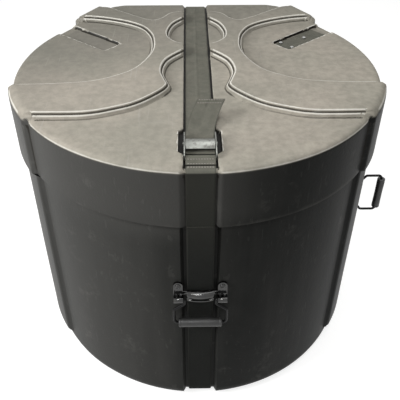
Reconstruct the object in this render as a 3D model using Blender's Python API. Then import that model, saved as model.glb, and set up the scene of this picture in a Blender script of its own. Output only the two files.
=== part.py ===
"""A drum case: a moulded round tub with a flat heel at the back, a moulded lid that
telescopes over it, a web strap drawn tight by a cam buckle on the lid, and two wire
bail handles.

The case stands on its base, +Z up. The strap and the front handle face -Y and
the side handle faces +X. All lengths are metres.
"""
import math

import bmesh
import bpy
from mathutils import Matrix, Vector

# Moulded shells
LID_RADIUS = 0.356
LID_TOP = 0.597              # the lid's flat level above the floor
LID_ROUND = 0.009            # edge between the lid's top and its skirt
SKIRT_BOTTOM = 0.484
WALL = 0.004
SKIRT_GAP = 0.004            # all round, between the skirt and the tub
BASE_ROUND = 0.028           # edge between the tub's side and its base
SEAT = 0.0003                # between pieces that rest on each other
OVERRUN = 0.020              # how far a cutter runs past what it cuts
FACETS = 96                  # round the case

# The back is drawn out to flats, on which the case can stand upright. They touch the
# round outline at these angles from +X, and the corners between them are cut.
HEEL_ANGLES = (30.0, 90.0)
HEEL_CORNER_SHARE = 1.125    # a corner's reach, as a share of the radius

# Raised arms on the lid, which run down both shells as ribs
ARM_RISE = 0.0125
ARM_SLOPE = 0.008            # how far an arm's side leans over its rise
ARM_OVER_SHARE = 1.2         # the arms' tool ends this far up their rise
RIB_RISE = 0.008
RIB_ROUND = 0.016
RIB_SIDE_GAP = 0.0015        # between a lid rib's inner side and the tub's rib

# One arm pair, as shares of the lid's radius: x to the right, y to the back
FRONT_EDGE_SHARES = ((0.080, 0.178), (0.176, 0.049), (0.204, -0.090), (0.181, -0.203),
                     (0.168, -0.262), (0.204, -0.330), (0.300, -0.432), (0.400, -0.490),
                     (0.560, -0.540), (0.840, -0.541))
ARM_END_SHARES = ((1.180, -0.541), (1.180, -0.253))
SIDE_EDGE_SHARES = ((0.958, -0.253), (0.784, -0.250), (0.572, -0.225), (0.444, -0.165),
                    (0.351, -0.085), (0.285, 0.040), (0.250, 0.172), (0.250, 0.300),
                    (0.272, 0.415), (0.335, 0.532), (0.455, 0.622), (0.615, 0.685),
                    (0.747, 0.708))
BACK_END_SHARES = ((1.060, 0.760), (0.930, 0.965))
BACK_EDGE_SHARES = ((0.572, 0.848), (0.464, 0.757), (0.350, 0.662), (0.272, 0.622),
                    (0.215, 0.660), (0.165, 0.740), (0.084, 0.774))
NOTCH_SHARES = ((0.085, 0.671), (0.150, 0.575), (0.181, 0.452), (0.172, 0.350),
                (0.125, 0.280), (0.077, 0.252))
CURVE_STEPS = 2              # outline points between two shares

# Channels for the strap and the two open pockets in the lid's back half
LID_CHANNEL_WIDTH = 0.054
CHANNEL_SIDE_WALL = 0.003
CHANNEL_SIDE_GAP = 0.001
LID_CHANNEL_DEPTH = 0.006
TUB_CHANNEL_DEPTH = 0.009
RECESS_WIDTH = 0.071         # the channel widens round the buckle
RECESS_SETBACK = 0.046       # from the lid's side line to the recess
RECESS_LENGTH = 0.080
POCKET_WIDTH = 0.050
POCKET_CORNER = 0.006
POCKET_START_SHARES = (0.497, 0.285)
POCKET_ANGLE = 41.0

# Web strap
STRAP_WIDTH = 0.047
STRAP_THICKNESS = 0.0022
STRAP_DIP = 0.0045           # stands off the tub's channel under the bridge
TAIL_LENGTH = 0.072
TAIL_RISE = 0.029
TAIL_DRIFT = 0.021
# The loose tail's route as shares of its length, rise and drift
TAIL_SHARES = ((0.10, 0.02, 0.03), (0.27, 0.13, 0.11), (0.45, 0.32, 0.26), (0.62, 0.54, 0.45),
               (0.77, 0.74, 0.66), (0.89, 0.89, 0.84), (0.95, 0.96, 0.93), (1.00, 1.00, 1.00))
TAIL_HEM_STATIONS = 2        # the last stations lie folded double

# Buckle
BUCKLE_PLATE = 0.0018        # steel thickness of base and ears
BUCKLE_SIDE_GAP = 0.0007     # from the strap's edge to an ear
BUCKLE_SETBACK = 0.051       # from the lid's side line to the base plate's front edge
BUCKLE_LENGTH = 0.048        # of the base plate
BUCKLE_NOSE = 0.0175         # the ears run this far ahead of the base plate
EAR_RISE = 0.0155            # above the base plate's underside
EAR_CORNER = 0.006
BAR_RADIUS = 0.0020
BAR_AHEAD = 0.0135           # strap bar, ahead of the base plate
PIN_BEHIND = 0.0135          # lever pin, behind the base plate's front edge
PIN_RADIUS = 0.0020
PIN_HEAD = 0.0030
PIN_HEAD_RISE = 0.0010
PIN_FIT = 0.0003
CAM_REACH = 0.0060           # pin centre down to the cam's lowest tooth
HUB_RADIUS = 0.0044
LEVER_SIDE_GAP = 0.0008
LEVER_ARCH = 0.0174          # outer radius of the thumb plate's arch
LEVER_DROP = 0.0110          # the arch's centre, below the pin
LEVER_ANGLES = (38.0, 143.0)
LEVER_STEPS = 8
CAM_TOP_SHARES = ((-0.70, 0.78), (1.05, 0.66))
CAM_TOOTH_ANGLES = (-22.0, -35.0, -50.0, -65.0, -80.0, -95.0, -112.0)
CAM_TOOTH_SHARE = 0.12       # a tooth gap's depth in the cam's reach
CAM_TIP_SHARE = 1.10         # the first teeth stand out this far

# Torsion spring at one end of the lever's pin
SPRING_WIRE = 0.0006
SPRING_COIL = 0.0031
SPRING_ANGLES = (30.0, 1544.0)   # where the coil starts and ends round the pin
SPRING_PITCH = 0.0017
SPRING_STEPS = 10                # points a turn
SPRING_LEG = 0.0080
SPRING_GAP = 0.0006          # from the coil's last turn to the cam

# Bail handles
HANDLE_HEIGHT = 0.318        # hinge line of the front handle
SIDE_HANDLE_HEIGHT = 0.281   # middle of the side handle
PIVOT_STAND = 0.011          # hinge line off the tub's side
WIRE_RADIUS = 0.0028
WIRE_FIT = 0.0004
LUG_RADIUS = 0.0062
LUG_INNER = 0.0315
LUG_OUTER = 0.0480
PIN_END = 0.0455             # how far out the bail's own hinge ends reach
BAIL_THROAT = 0.0283         # wire's centre line in the slot beside the bridge
BAIL_SPREAD = 0.0480
BAIL_STRAIGHT = 0.0105       # runs straight this far before it splays
BAIL_SPLAY = 0.0260
BAIL_CORNER = 0.0050         # cut corner beside the grip
BAIL_BEND = 0.0031           # straight length that each bend takes up
ARM_LENGTH = 0.061           # hinge line to grip
GRIP_RADIUS = 0.0088
GRIP_LENGTH = 0.0800
GRIP_ROUND = 0.0020
GRIP_FIT = 0.0003
GRIP_FACETS = 20
WIRE_FACETS = 10
RIVET_FACETS = 12

# Handle bracket: two riveted lugs joined by a web and an arched hood
WEB_THICKNESS = 0.0020
WEB_LOW = 0.0045
WEB_HIGH = 0.0130
HOOD_HALF = 0.0245
HOOD_REACH = 0.0085
HOOD_ARCH = 0.0040
HOOD_LOW = 0.0050
HOOD_STATIONS = 9
HOOD_STEPS = 5
TAB_CENTRE = 0.0400
TAB_HEIGHT = 0.0250
TAB_RADIUS = 0.0085
RIVET_RADIUS = 0.0025
RIVET_FIT = 0.0003
RIVET_HEAD = 0.0048
RIVET_HEAD_RISE = 0.0022
RIVET_TAIL = 0.0034
RIVET_TAIL_RISE = 0.0018
WASHER_RADIUS = 0.0046
WASHER_THICKNESS = 0.0015

# Webbing patch in the right pocket
PATCH_WIDTH = 0.044
PATCH_LENGTH = 0.122
PATCH_START = 0.008
PATCH_RIVET_RADIUS = 0.0040
PATCH_RIVET_RISE = 0.0016
PATCH_SHANK = 0.0018
PATCH_RIVET_SHARES = ((0.10, 0.36), (0.10, -0.36), (0.58, 0.0))

# Worked out from the sizes above
TUB_RADIUS = LID_RADIUS - WALL - SKIRT_GAP
CHANNEL_FLOOR = LID_TOP - LID_CHANNEL_DEPTH
RIM_TOP = CHANNEL_FLOOR - WALL - SEAT
SIDE_INSET = WALL + RIB_SIDE_GAP
TUB_CHANNEL_WIDTH = LID_CHANNEL_WIDTH + 2 * (CHANNEL_SIDE_WALL + CHANNEL_SIDE_GAP)
PIVOT_RADIUS = TUB_RADIUS + PIVOT_STAND
SIDE_REACH = PIVOT_RADIUS + ARM_LENGTH + GRIP_RADIUS
FRONT_REACH = PIVOT_RADIUS + GRIP_RADIUS
AXIS_X = -(SIDE_REACH - LID_RADIUS) / 2
AXIS_Y = (FRONT_REACH - LID_RADIUS) / 2
RECESS_FRONT = LID_RADIUS - RECESS_SETBACK
RECESS_BACK = RECESS_FRONT - RECESS_LENGTH
BUCKLE_FRONT = LID_RADIUS - BUCKLE_SETBACK
BUCKLE_BACK = BUCKLE_FRONT - BUCKLE_LENGTH
PIN_AHEAD = BUCKLE_FRONT - PIN_BEHIND
EAR_INNER = STRAP_WIDTH / 2 + BUCKLE_SIDE_GAP
SPRING_INSET = LEVER_SIDE_GAP + 2 * SPRING_WIRE
SPRING_SPAN = (SPRING_ANGLES[1] - SPRING_ANGLES[0]) / 360 * SPRING_PITCH
SPRING_ROOM = SPRING_INSET + SPRING_SPAN + SPRING_WIRE + SPRING_GAP
EAR_OUTER = EAR_INNER + BUCKLE_PLATE
LOWER_WEB_TOP = CHANNEL_FLOOR + SEAT + STRAP_THICKNESS
PLATE_LOW = LOWER_WEB_TOP + SEAT
PLATE_HIGH = PLATE_LOW + BUCKLE_PLATE
UPPER_WEB_TOP = PLATE_HIGH + SEAT + STRAP_THICKNESS
PIN_HEIGHT = UPPER_WEB_TOP + SEAT + CAM_REACH * CAM_TIP_SHARE

MATERIALS = {
    "shell": ((0.050, 0.051, 0.048), 0.55, 0.0),
    "webbing": ((0.040, 0.042, 0.041), 0.90, 0.0),
    "steel": ((0.720, 0.720, 0.700), 0.22, 1.0),
    "wire": ((0.060, 0.060, 0.060), 0.40, 0.8),
    "grip": ((0.030, 0.030, 0.030), 0.45, 0.0),
    "rivet": ((0.450, 0.450, 0.440), 0.35, 1.0),
}


def clear_scene():
    for old in list(bpy.data.objects):
        bpy.data.objects.remove(old, do_unlink=True)


def material(name):
    found = bpy.data.materials.get(name)
    if found:
        return found
    colour, roughness, metallic = MATERIALS[name]
    made = bpy.data.materials.new(name)
    made.use_nodes = True
    surface = made.node_tree.nodes["Principled BSDF"]
    surface.inputs["Base Color"].default_value = (*colour, 1.0)
    surface.inputs["Roughness"].default_value = roughness
    surface.inputs["Metallic"].default_value = metallic
    return made


def empty(name, parent=None, location=(0, 0, 0), rotation=(0, 0, 0)):
    made = bpy.data.objects.new(name, None)
    bpy.context.scene.collection.objects.link(made)
    made.parent = parent
    made.location = location
    made.rotation_euler = rotation
    return made


def solid(bm, name="tool"):
    """Turn a bmesh into an object with its faces pointing out."""
    bmesh.ops.recalc_face_normals(bm, faces=bm.faces)
    mesh = bpy.data.meshes.new(name)
    bm.to_mesh(mesh)
    bm.free()
    made = bpy.data.objects.new(name, mesh)
    bpy.context.scene.collection.objects.link(made)
    return made


def combine(body, tool, operation):
    """Join, cut or overlap two solids with an exact Boolean and keep one."""
    modifier = body.modifiers.new(operation, "BOOLEAN")
    modifier.operation = operation
    modifier.solver = "EXACT"
    modifier.object = tool
    graph = bpy.context.evaluated_depsgraph_get()
    result = bpy.data.meshes.new_from_object(body.evaluated_get(graph))
    body.modifiers.clear()
    body.data = result
    bpy.data.objects.remove(tool, do_unlink=True)
    return body


def join(body, *tools):
    for tool in tools:
        combine(body, tool, "UNION")
    return body


def cut(body, *tools):
    for tool in tools:
        combine(body, tool, "DIFFERENCE")
    return body


def finish(obj, name, surface, parent, location=(0, 0, 0), rotation=(0, 0, 0)):
    """Name a finished solid, weld it, shade it, colour it and place it."""
    bm = bmesh.new()
    bm.from_mesh(obj.data)
    bmesh.ops.remove_doubles(bm, verts=bm.verts, dist=SEAT / 30)
    bmesh.ops.dissolve_degenerate(bm, edges=bm.edges, dist=SEAT / 30)
    bm.to_mesh(obj.data)
    bm.free()
    obj.name = name
    obj.data.name = name
    obj.data.materials.clear()
    obj.data.materials.append(material(surface))
    obj.data.shade_smooth()
    obj.data.set_sharp_from_angle(angle=math.radians(35))
    obj.parent = parent
    obj.location = location
    obj.rotation_euler = rotation
    return obj


def arc(centre, radius, start, end, steps):
    """Points on an arc, angles in degrees, both ends included."""
    if radius <= 0:
        return [centre]
    turns = [math.radians(start + (end - start) * i / steps) for i in range(steps + 1)]
    return [(centre[0] + radius * math.cos(t), centre[1] + radius * math.sin(t)) for t in turns]


def heel_share(turn):
    """The shells' reach at an angle round the case, as a share of their radius."""
    low, high = HEEL_ANGLES
    around = math.degrees(turn) % 360
    from_side = min(around, 180 - around)
    if not low < from_side <= high:
        return 1.0
    to_flat = min(from_side - low, high - from_side)
    return min(1 / math.cos(math.radians(to_flat)), HEEL_CORNER_SHARE)


def lathe(profile, facets=FACETS, share=None):
    """Turn (radius, height) points, listed upwards, round Z and cap both ends."""
    bm = bmesh.new()
    turns = [2 * math.pi * i / facets for i in range(facets)]
    reach = [share(t) if share else 1 for t in turns]
    rings = []
    for radius, height in profile:
        rings.append([bm.verts.new((radius * k * math.cos(t), radius * k * math.sin(t), height))
                      for k, t in zip(reach, turns)])
    skin(bm, rings)
    return solid(bm)


def shell_round(profile):
    """A shell's form: round, with the heel's flats at the back."""
    return lathe(profile, share=heel_share)


def skin(bm, rings):
    """Bridge closed rings of equal count and cap the first and the last."""
    for low, high in zip(rings, rings[1:]):
        for i in range(len(low)):
            j = (i + 1) % len(low)
            bm.faces.new((low[i], low[j], high[j], high[i]))
    bm.faces.new(list(reversed(rings[0])))
    bm.faces.new(rings[-1])


def prism(levels):
    """A solid through flat outlines, each given as (height, points)."""
    bm = bmesh.new()
    rings = [[bm.verts.new((x, y, height)) for x, y in outline] for height, outline in levels]
    skin(bm, rings)
    return solid(bm)


def slice_along_x(half, outline):
    """A (y, z) outline drawn out along X to both sides of the middle."""
    bm = bmesh.new()
    rings = [[bm.verts.new((x, y, z)) for y, z in outline] for x in (-half, half)]
    skin(bm, rings)
    return solid(bm)


def block(low, high):
    """An upright box between two opposite corners."""
    corners = [(low[0], low[1]), (high[0], low[1]), (high[0], high[1]), (low[0], high[1])]
    return prism([(low[2], corners), (high[2], corners)])


def rod(radius, start, end, facets=WIRE_FACETS):
    """A round bar between two points."""
    start, end = Vector(start), Vector(end)
    length = (end - start).length
    bar = lathe([(radius, 0), (radius, length)], facets)
    turn = Vector((0, 0, 1)).rotation_difference(end - start).to_matrix().to_4x4()
    bar.data.transform(Matrix.Translation(start) @ turn)
    return bar


def tub(radius, bottom, top, bottom_round, top_round, steps=5):
    """Side profile of a round form with a flat base and a flat top."""
    low = arc((radius - bottom_round, bottom + bottom_round), bottom_round, -90, 0, steps)
    high = arc((radius - top_round, top - top_round), top_round, 0, 90, steps)
    return low + high


def smooth(points, steps=CURVE_STEPS):
    """A curve through hand-set points, with extra points between them."""
    ends = [points[0]] + list(points) + [points[-1]]
    curve = []
    for a, b, c, d in zip(ends, ends[1:], ends[2:], ends[3:]):
        for i in range(steps):
            t = i / steps
            curve.append(tuple(
                0.5 * (2 * q + (r - p) * t + (2 * p - 5 * q + 4 * r - s) * t ** 2
                       + (3 * q - p - 3 * r + s) * t ** 3)
                for p, q, r, s in zip(a, b, c, d)))
    curve.append(tuple(points[-1]))
    return curve


def offset(outline, distance):
    """Move a counter-clockwise outline outwards by a distance."""
    moved = []
    count = len(outline)
    for i, point in enumerate(outline):
        here = Vector(point)
        before = (here - Vector(outline[i - 1])).normalized()
        after = (Vector(outline[(i + 1) % count]) - here).normalized()
        outward = Vector((before.y + after.y, -before.x - after.x)).normalized()
        stretch = max(outward.dot(Vector((before.y, -before.x))), 0.5)
        moved.append(tuple(here + outward * distance / stretch))
    return moved


def arm_outline():
    """One front arm and one back arm on the right, joined beside the strap."""
    inner = SEAT / LID_RADIUS
    shares = [(inner, FRONT_EDGE_SHARES[0][1])] + smooth(FRONT_EDGE_SHARES)
    shares += list(ARM_END_SHARES) + smooth(SIDE_EDGE_SHARES) + list(BACK_END_SHARES)
    shares += smooth(BACK_EDGE_SHARES) + [(inner, BACK_EDGE_SHARES[-1][1])]
    shares += [(inner, NOTCH_SHARES[0][1])] + smooth(NOTCH_SHARES)
    shares += [(inner, NOTCH_SHARES[-1][1])]
    return [(x * LID_RADIUS, y * LID_RADIUS) for x, y in shares]


def arms_tool(side, inset):
    """The upright solid that the raised arms and ribs are cropped by."""
    outline = arm_outline()
    foot = offset(outline, ARM_SLOPE - inset)
    head = offset(outline, ARM_SLOPE * (1 - ARM_OVER_SHARE) - inset)
    levels = [(-OVERRUN, foot), (LID_TOP - inset, foot),
              (LID_TOP - inset + ARM_RISE * ARM_OVER_SHARE, head)]
    if side < 0:
        levels = [(height, [(-x, y) for x, y in reversed(ring)]) for height, ring in levels]
    return prism(levels)


def raised(profile, inset):
    """A turned form kept only where the arms and ribs stand."""
    left = combine(shell_round(profile), arms_tool(-1, inset), "INTERSECT")
    right = combine(shell_round(profile), arms_tool(1, inset), "INTERSECT")
    return left, right


def strap_slab(width):
    reach = LID_RADIUS + OVERRUN
    return block((-width / 2, -reach, -OVERRUN), (width / 2, reach, LID_TOP + OVERRUN))


def recess_tool(inset):
    """Eight-sided widening of the strap channel round the buckle."""
    narrow = LID_CHANNEL_WIDTH / 2 - SEAT
    wide = RECESS_WIDTH / 2 + inset
    front, back = -RECESS_FRONT - inset, -RECESS_BACK + inset
    lean = wide - narrow
    outline = [(-narrow, front), (narrow, front), (wide, front + lean), (wide, back - lean),
               (narrow, back), (-narrow, back), (-wide, back - lean), (-wide, front + lean)]
    return prism([(SKIRT_BOTTOM, outline), (LID_TOP + OVERRUN, outline)])


def pocket_frame(side):
    """Where a pocket starts and how it lies, as a matrix."""
    x, y = (share * LID_RADIUS for share in POCKET_START_SHARES)
    turn = POCKET_ANGLE if side > 0 else 180 - POCKET_ANGLE
    return Matrix.Translation((side * x, y, 0)) @ Matrix.Rotation(math.radians(turn), 4, "Z")


def pocket_tool(side, inset):
    """A trough with cut inner corners that runs out through the lid's rim."""
    half = POCKET_WIDTH / 2 + inset
    corner = POCKET_CORNER
    outline = [(-inset, -half + corner), (corner - inset, -half), (LID_RADIUS, -half),
               (LID_RADIUS, half), (corner - inset, half), (-inset, half - corner)]
    tool = prism([(CHANNEL_FLOOR - inset, outline), (LID_TOP + OVERRUN, outline)])
    tool.data.transform(pocket_frame(side))
    return tool


def lid_form(inset):
    """The lid's outer form, or the even-walled hollow inside it."""
    low = SKIRT_BOTTOM - OVERRUN * (2 if inset else 1)
    side = LID_RADIUS - inset
    form = shell_round(tub(side, low, LID_TOP - inset, 0, LID_ROUND - inset))
    arms = raised(tub(LID_RADIUS + RIB_RISE - inset, low - SEAT, LID_TOP + ARM_RISE - inset, 0,
                      RIB_ROUND - inset), inset)
    join(form, *arms)
    slab_width = LID_CHANNEL_WIDTH + (2 * CHANNEL_SIDE_WALL if inset else 0)
    cut(form, strap_slab(slab_width), recess_tool(inset), pocket_tool(-1, inset),
        pocket_tool(1, inset))
    core_round = max(LID_ROUND - LID_CHANNEL_DEPTH - inset, 0)
    core = shell_round(tub(side - LID_CHANNEL_DEPTH, low - 2 * SEAT, CHANNEL_FLOOR - inset, 0,
                           core_round))
    return join(form, core)


def tub_form(inset):
    """The tub's outer form, or the even-walled hollow inside it."""
    high = RIM_TOP + OVERRUN * (2 if inset else 1)
    side = TUB_RADIUS - inset
    form = shell_round(tub(side, inset, high, BASE_ROUND - inset, 0))
    rib = side + RIB_RISE
    foot = BASE_ROUND + inset
    arms = raised([(side - RIB_RISE, foot), (rib, foot + 2 * RIB_RISE), (rib, high + SEAT)],
                  SIDE_INSET + inset)
    join(form, *arms)
    cut(form, strap_slab(TUB_CHANNEL_WIDTH + 2 * inset))
    core_round = BASE_ROUND - TUB_CHANNEL_DEPTH - inset
    core = shell_round(tub(side - TUB_CHANNEL_DEPTH, TUB_CHANNEL_DEPTH + inset,
                           high + 2 * SEAT, core_round, 0))
    return join(form, core)


def lid_shell(parent):
    shell = cut(lid_form(0), lid_form(WALL))
    reach = LID_RADIUS + OVERRUN
    trim = block((-reach, -reach, SKIRT_BOTTOM - 2 * OVERRUN), (reach, reach, SKIRT_BOTTOM))
    cut(shell, trim)
    for place in patch_rivet_places():
        cut(shell, rod(PATCH_SHANK + RIVET_FIT, (*place, LID_TOP - OVERRUN),
                       (*place, LID_TOP + OVERRUN)))
    return finish(shell, "lid_shell", "shell", parent)


def tub_shell(parent, handles):
    shell = cut(tub_form(0), tub_form(WALL))
    reach = LID_RADIUS + OVERRUN
    cut(shell, block((-reach, -reach, RIM_TOP), (reach, reach, RIM_TOP + 3 * OVERRUN)))
    for handle in handles:
        for x in (-TAB_CENTRE, TAB_CENTRE):
            hole = rod(RIVET_RADIUS + RIVET_FIT, (x, -OVERRUN, TAB_HEIGHT),
                       (x, OVERRUN, TAB_HEIGHT))
            hole.data.transform(handle)
            cut(shell, hole)
    return finish(shell, "body_shell", "shell", parent)


def ribbon(route):
    """Webbing along (x, y, z, plies) stations; it thickens to the left of its way
    as seen from +X, so a loop carries its face round with it."""
    bm = bmesh.new()
    rings = []
    for i, (x, y, z, plies) in enumerate(route):
        before = Vector(route[max(i - 1, 0)][1:3])
        after = Vector(route[min(i + 1, len(route) - 1)][1:3])
        along = (after - before).normalized()
        normal = Vector((-along.y, along.x)) * STRAP_THICKNESS * plies
        half = STRAP_WIDTH / 2
        ring = [(x - half, y, z), (x + half, y, z),
                (x + half, y + normal.x, z + normal.y), (x - half, y + normal.x, z + normal.y)]
        rings.append([bm.verts.new(corner) for corner in ring])
    skin(bm, rings)
    return solid(bm)


def mirrored(route):
    """The same route at the other side of the case, run the other way."""
    return [(x, -y, z, plies) for x, y, z, plies in reversed(route)]


def flat(points):
    """Stations in the middle plane, one ply thick, from (y, z) points."""
    return [(0, y, z, 1) for y, z in points]


def body_strap(parent):
    """From the skirt's front edge down, under the base and up the back."""
    lid_side = LID_RADIUS - LID_CHANNEL_DEPTH + SEAT
    floor = TUB_RADIUS - TUB_CHANNEL_DEPTH
    top = SKIRT_BOTTOM - SEAT
    bend = BASE_ROUND - TUB_CHANNEL_DEPTH + SEAT
    corner = arc((TUB_RADIUS - BASE_ROUND, BASE_ROUND), bend, 0, -90, 6)
    back = [(lid_side, top), (floor + STRAP_DIP, HANDLE_HEIGHT)] + corner
    route = flat(back) + mirrored(flat(back))
    return finish(ribbon(route), "body_strap", "webbing", parent)


def rim_bend():
    """(y, z) points from the skirt's back edge up and over the lid's rim."""
    side = LID_RADIUS - LID_CHANNEL_DEPTH + SEAT
    bend = LID_ROUND - LID_CHANNEL_DEPTH + SEAT
    over = arc((LID_RADIUS - LID_ROUND, LID_TOP - LID_ROUND), bend, 0, 90, 5)
    return [(side, SKIRT_BOTTOM + SEAT)] + over


def front_strap(parent):
    """Up the front skirt, over the rim, round the buckle's bar and back on itself."""
    over = [(-y, z) for y, z in rim_bend()]
    bar_y, bar_z = bar_place()
    turn = BAR_RADIUS + SEAT + STRAP_THICKNESS
    low = CHANNEL_FLOOR + SEAT
    loop = arc((bar_y, bar_z), turn, -90, 90, 6)
    sewn = low + 2 * STRAP_THICKNESS + SEAT
    half_ply = STRAP_THICKNESS / 2
    points = over + [(bar_y - turn, low)] + loop
    points += [(bar_y - turn, bar_z + turn - half_ply), (bar_y - 2 * turn, sewn + half_ply),
               (bar_y - 3 * turn, sewn), (bar_y - 4 * turn, sewn)]
    return finish(ribbon(flat(points)), "front_strap", "webbing", parent)


def bar_place():
    """Centre of the buckle's strap bar as (y, z)."""
    return -BUCKLE_FRONT - BAR_AHEAD, LOWER_WEB_TOP + SEAT + BAR_RADIUS


def rear_strap(parent):
    """Up the back skirt, along the lid, under the buckle's base, round its front
    edge, back under the cam and out as the loose tail."""
    middle = (PLATE_LOW + PLATE_HIGH) / 2
    turn = middle - CHANNEL_FLOOR - SEAT
    hold = arc((-BUCKLE_FRONT, middle), turn, -90, -270, 8)
    points = rim_bend() + hold + [(-BUCKLE_BACK, UPPER_WEB_TOP)]
    route = flat(points)
    count = len(TAIL_SHARES)
    for i, (along, rise, drift) in enumerate(TAIL_SHARES):
        plies = 2 if i >= count - TAIL_HEM_STATIONS else 1
        route.append((drift * TAIL_DRIFT, -BUCKLE_BACK + along * TAIL_LENGTH,
                      UPPER_WEB_TOP + rise * TAIL_RISE, plies))
    # Run from the tail, so that the thickness falls on the outer side
    return finish(ribbon(list(reversed(route))), "rear_strap", "webbing", parent)


def buckle_frame(parent):
    """Base plate between two ears, with a round bar across their front ends."""
    front, back = -BUCKLE_FRONT, -BUCKLE_BACK
    frame = block((-EAR_INNER - SEAT, front, PLATE_LOW), (EAR_INNER + SEAT, back, PLATE_HIGH))
    nose = front - BUCKLE_NOSE
    high = PLATE_LOW + EAR_RISE
    outline = [(nose, PLATE_LOW), (back, PLATE_LOW), (back, high - EAR_CORNER),
               (back - EAR_CORNER, high), (front, high), (nose, high - EAR_CORNER)]
    for side in (-1, 1):
        ear = slice_along_x(BUCKLE_PLATE / 2, outline)
        ear.data.transform(Matrix.Translation((side * (EAR_INNER + EAR_OUTER) / 2, 0, 0)))
        join(frame, ear)
    bar_y, bar_z = bar_place()
    half = EAR_INNER + BUCKLE_PLATE / 2
    join(frame, rod(BAR_RADIUS, (-half, bar_y, bar_z), (half, bar_y, bar_z)))
    reach = EAR_OUTER + OVERRUN
    cut(frame, rod(PIN_RADIUS + PIN_FIT, (-reach, -PIN_AHEAD, PIN_HEIGHT),
                   (reach, -PIN_AHEAD, PIN_HEIGHT)))
    return finish(frame, "buckle_frame", "steel", parent)


def buckle_pin(parent):
    """Headed pin through both ears, along X."""
    half = EAR_OUTER + SEAT
    end = half + PIN_HEAD_RISE
    profile = [(PIN_HEAD, -end), (PIN_HEAD, -half), (PIN_RADIUS, -half), (PIN_RADIUS, half),
               (PIN_HEAD, half), (PIN_HEAD, end)]
    pin = lathe(profile, WIRE_FACETS * 2)
    pin.data.transform(Matrix.Rotation(math.radians(90), 4, "Y"))
    return finish(pin, "buckle_pin", "steel", parent, (0, -PIN_AHEAD, PIN_HEIGHT))


def buckle_lever(parent):
    """Arched thumb plate with a toothed cam round the pin, in the pin's frame."""
    half = EAR_INNER - LEVER_SIDE_GAP
    low, high = LEVER_ANGLES
    outer = arc((0, -LEVER_DROP), LEVER_ARCH, low, high, LEVER_STEPS)
    inner = arc((0, -LEVER_DROP), LEVER_ARCH - BUCKLE_PLATE, high, low, LEVER_STEPS)
    lever = slice_along_x(half, outer + inner)
    teeth = []
    for i, angle in enumerate(CAM_TOOTH_ANGLES):
        reach = CAM_REACH * (CAM_TIP_SHARE - (CAM_TOOTH_SHARE if i % 2 else 0))
        turn = math.radians(angle)
        teeth.append((reach * math.cos(turn), reach * math.sin(turn)))
    top = LEVER_ARCH - LEVER_DROP - BUCKLE_PLATE / 2
    heads = [(y * HUB_RADIUS, z * top) for y, z in CAM_TOP_SHARES]
    back = arc((0, 0), HUB_RADIUS, 220, 170, 3)
    cam = slice_along_x(half, [heads[1]] + teeth + back + [heads[0]])
    room = EAR_INNER - SPRING_ROOM
    cut(cam, block((-half - OVERRUN, -OVERRUN, -OVERRUN), (-room, OVERRUN, OVERRUN)))
    join(lever, cam)
    cut(lever, rod(PIN_RADIUS + PIN_FIT, (-half - OVERRUN, 0, 0), (half + OVERRUN, 0, 0),
                   WIRE_FACETS * 2))
    return finish(lever, "buckle_lever", "steel", parent, (0, -PIN_AHEAD, PIN_HEIGHT))


def least_gap(points, radius, skip):
    """Least clear distance of a tube to itself, past its neighbouring points."""
    pairs = ((a, b) for i, a in enumerate(points) for b in points[i + skip:])
    return min((Vector(a) - Vector(b)).length for a, b in pairs) - 2 * radius


def leg_end(point, angle, length):
    """Straight on from a point of the coil, or back from it."""
    turn = math.radians(angle)
    x, y, z = point
    return x, y - length * math.sin(turn), z + length * math.cos(turn)


def buckle_spring(parent):
    """Torsion spring round the pin: one leg bears down behind the cam, the other
    lifts the thumb plate from below."""
    start = -EAR_INNER + SPRING_INSET
    first_angle, last_angle = SPRING_ANGLES
    points = round((last_angle - first_angle) / 360 * SPRING_STEPS)
    coil = []
    for i in range(points + 1):
        turned = (last_angle - first_angle) * i / points
        angle = math.radians(first_angle + turned)
        coil.append((start + turned / 360 * SPRING_PITCH, SPRING_COIL * math.cos(angle),
                     SPRING_COIL * math.sin(angle)))
    print("spring's least gap to itself (m):", round(
        least_gap(coil, SPRING_WIRE, SPRING_STEPS // 2), 5))
    first = leg_end(coil[0], first_angle, -SPRING_LEG)
    last = leg_end(coil[-1], last_angle, SPRING_LEG)
    curve = bpy.data.curves.new("buckle_spring", "CURVE")
    curve.dimensions = "3D"
    curve.bevel_depth = SPRING_WIRE
    curve.bevel_resolution = 1
    curve.use_fill_caps = True
    path = curve.splines.new("POLY")
    route = [first] + coil + [last]
    path.points.add(len(route) - 1)
    for point, place in zip(path.points, route):
        point.co = (*place, 1)
    made = bpy.data.objects.new("buckle_spring", curve)
    bpy.context.scene.collection.objects.link(made)
    curve.materials.append(material("steel"))
    made.parent = parent
    made.location = (0, -PIN_AHEAD, PIN_HEIGHT)
    return made


def wall_tool(hinge_upright, radius):
    """The tub's side as a solid, seen from a handle whose outward way is -Y."""
    reach = LID_RADIUS
    wall = lathe([(radius, -reach), (radius, reach)])
    if hinge_upright:
        wall.data.transform(Matrix.Rotation(math.radians(90), 4, "Y"))
    wall.data.transform(Matrix.Translation((0, TUB_RADIUS, 0)))
    return wall


def lug(side):
    """Solid ear with the bore for the bail's hinge end."""
    half = (LUG_OUTER - LUG_INNER) / 2
    nose = [(-PIVOT_STAND + y, z) for y, z in arc((0, 0), LUG_RADIUS, 90, 270, 8)]
    ear = slice_along_x(half, nose + [(PIVOT_STAND, -LUG_RADIUS), (PIVOT_STAND, LUG_RADIUS)])
    ear.data.transform(Matrix.Translation((side * (LUG_INNER + half), 0, 0)))
    return ear


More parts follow.
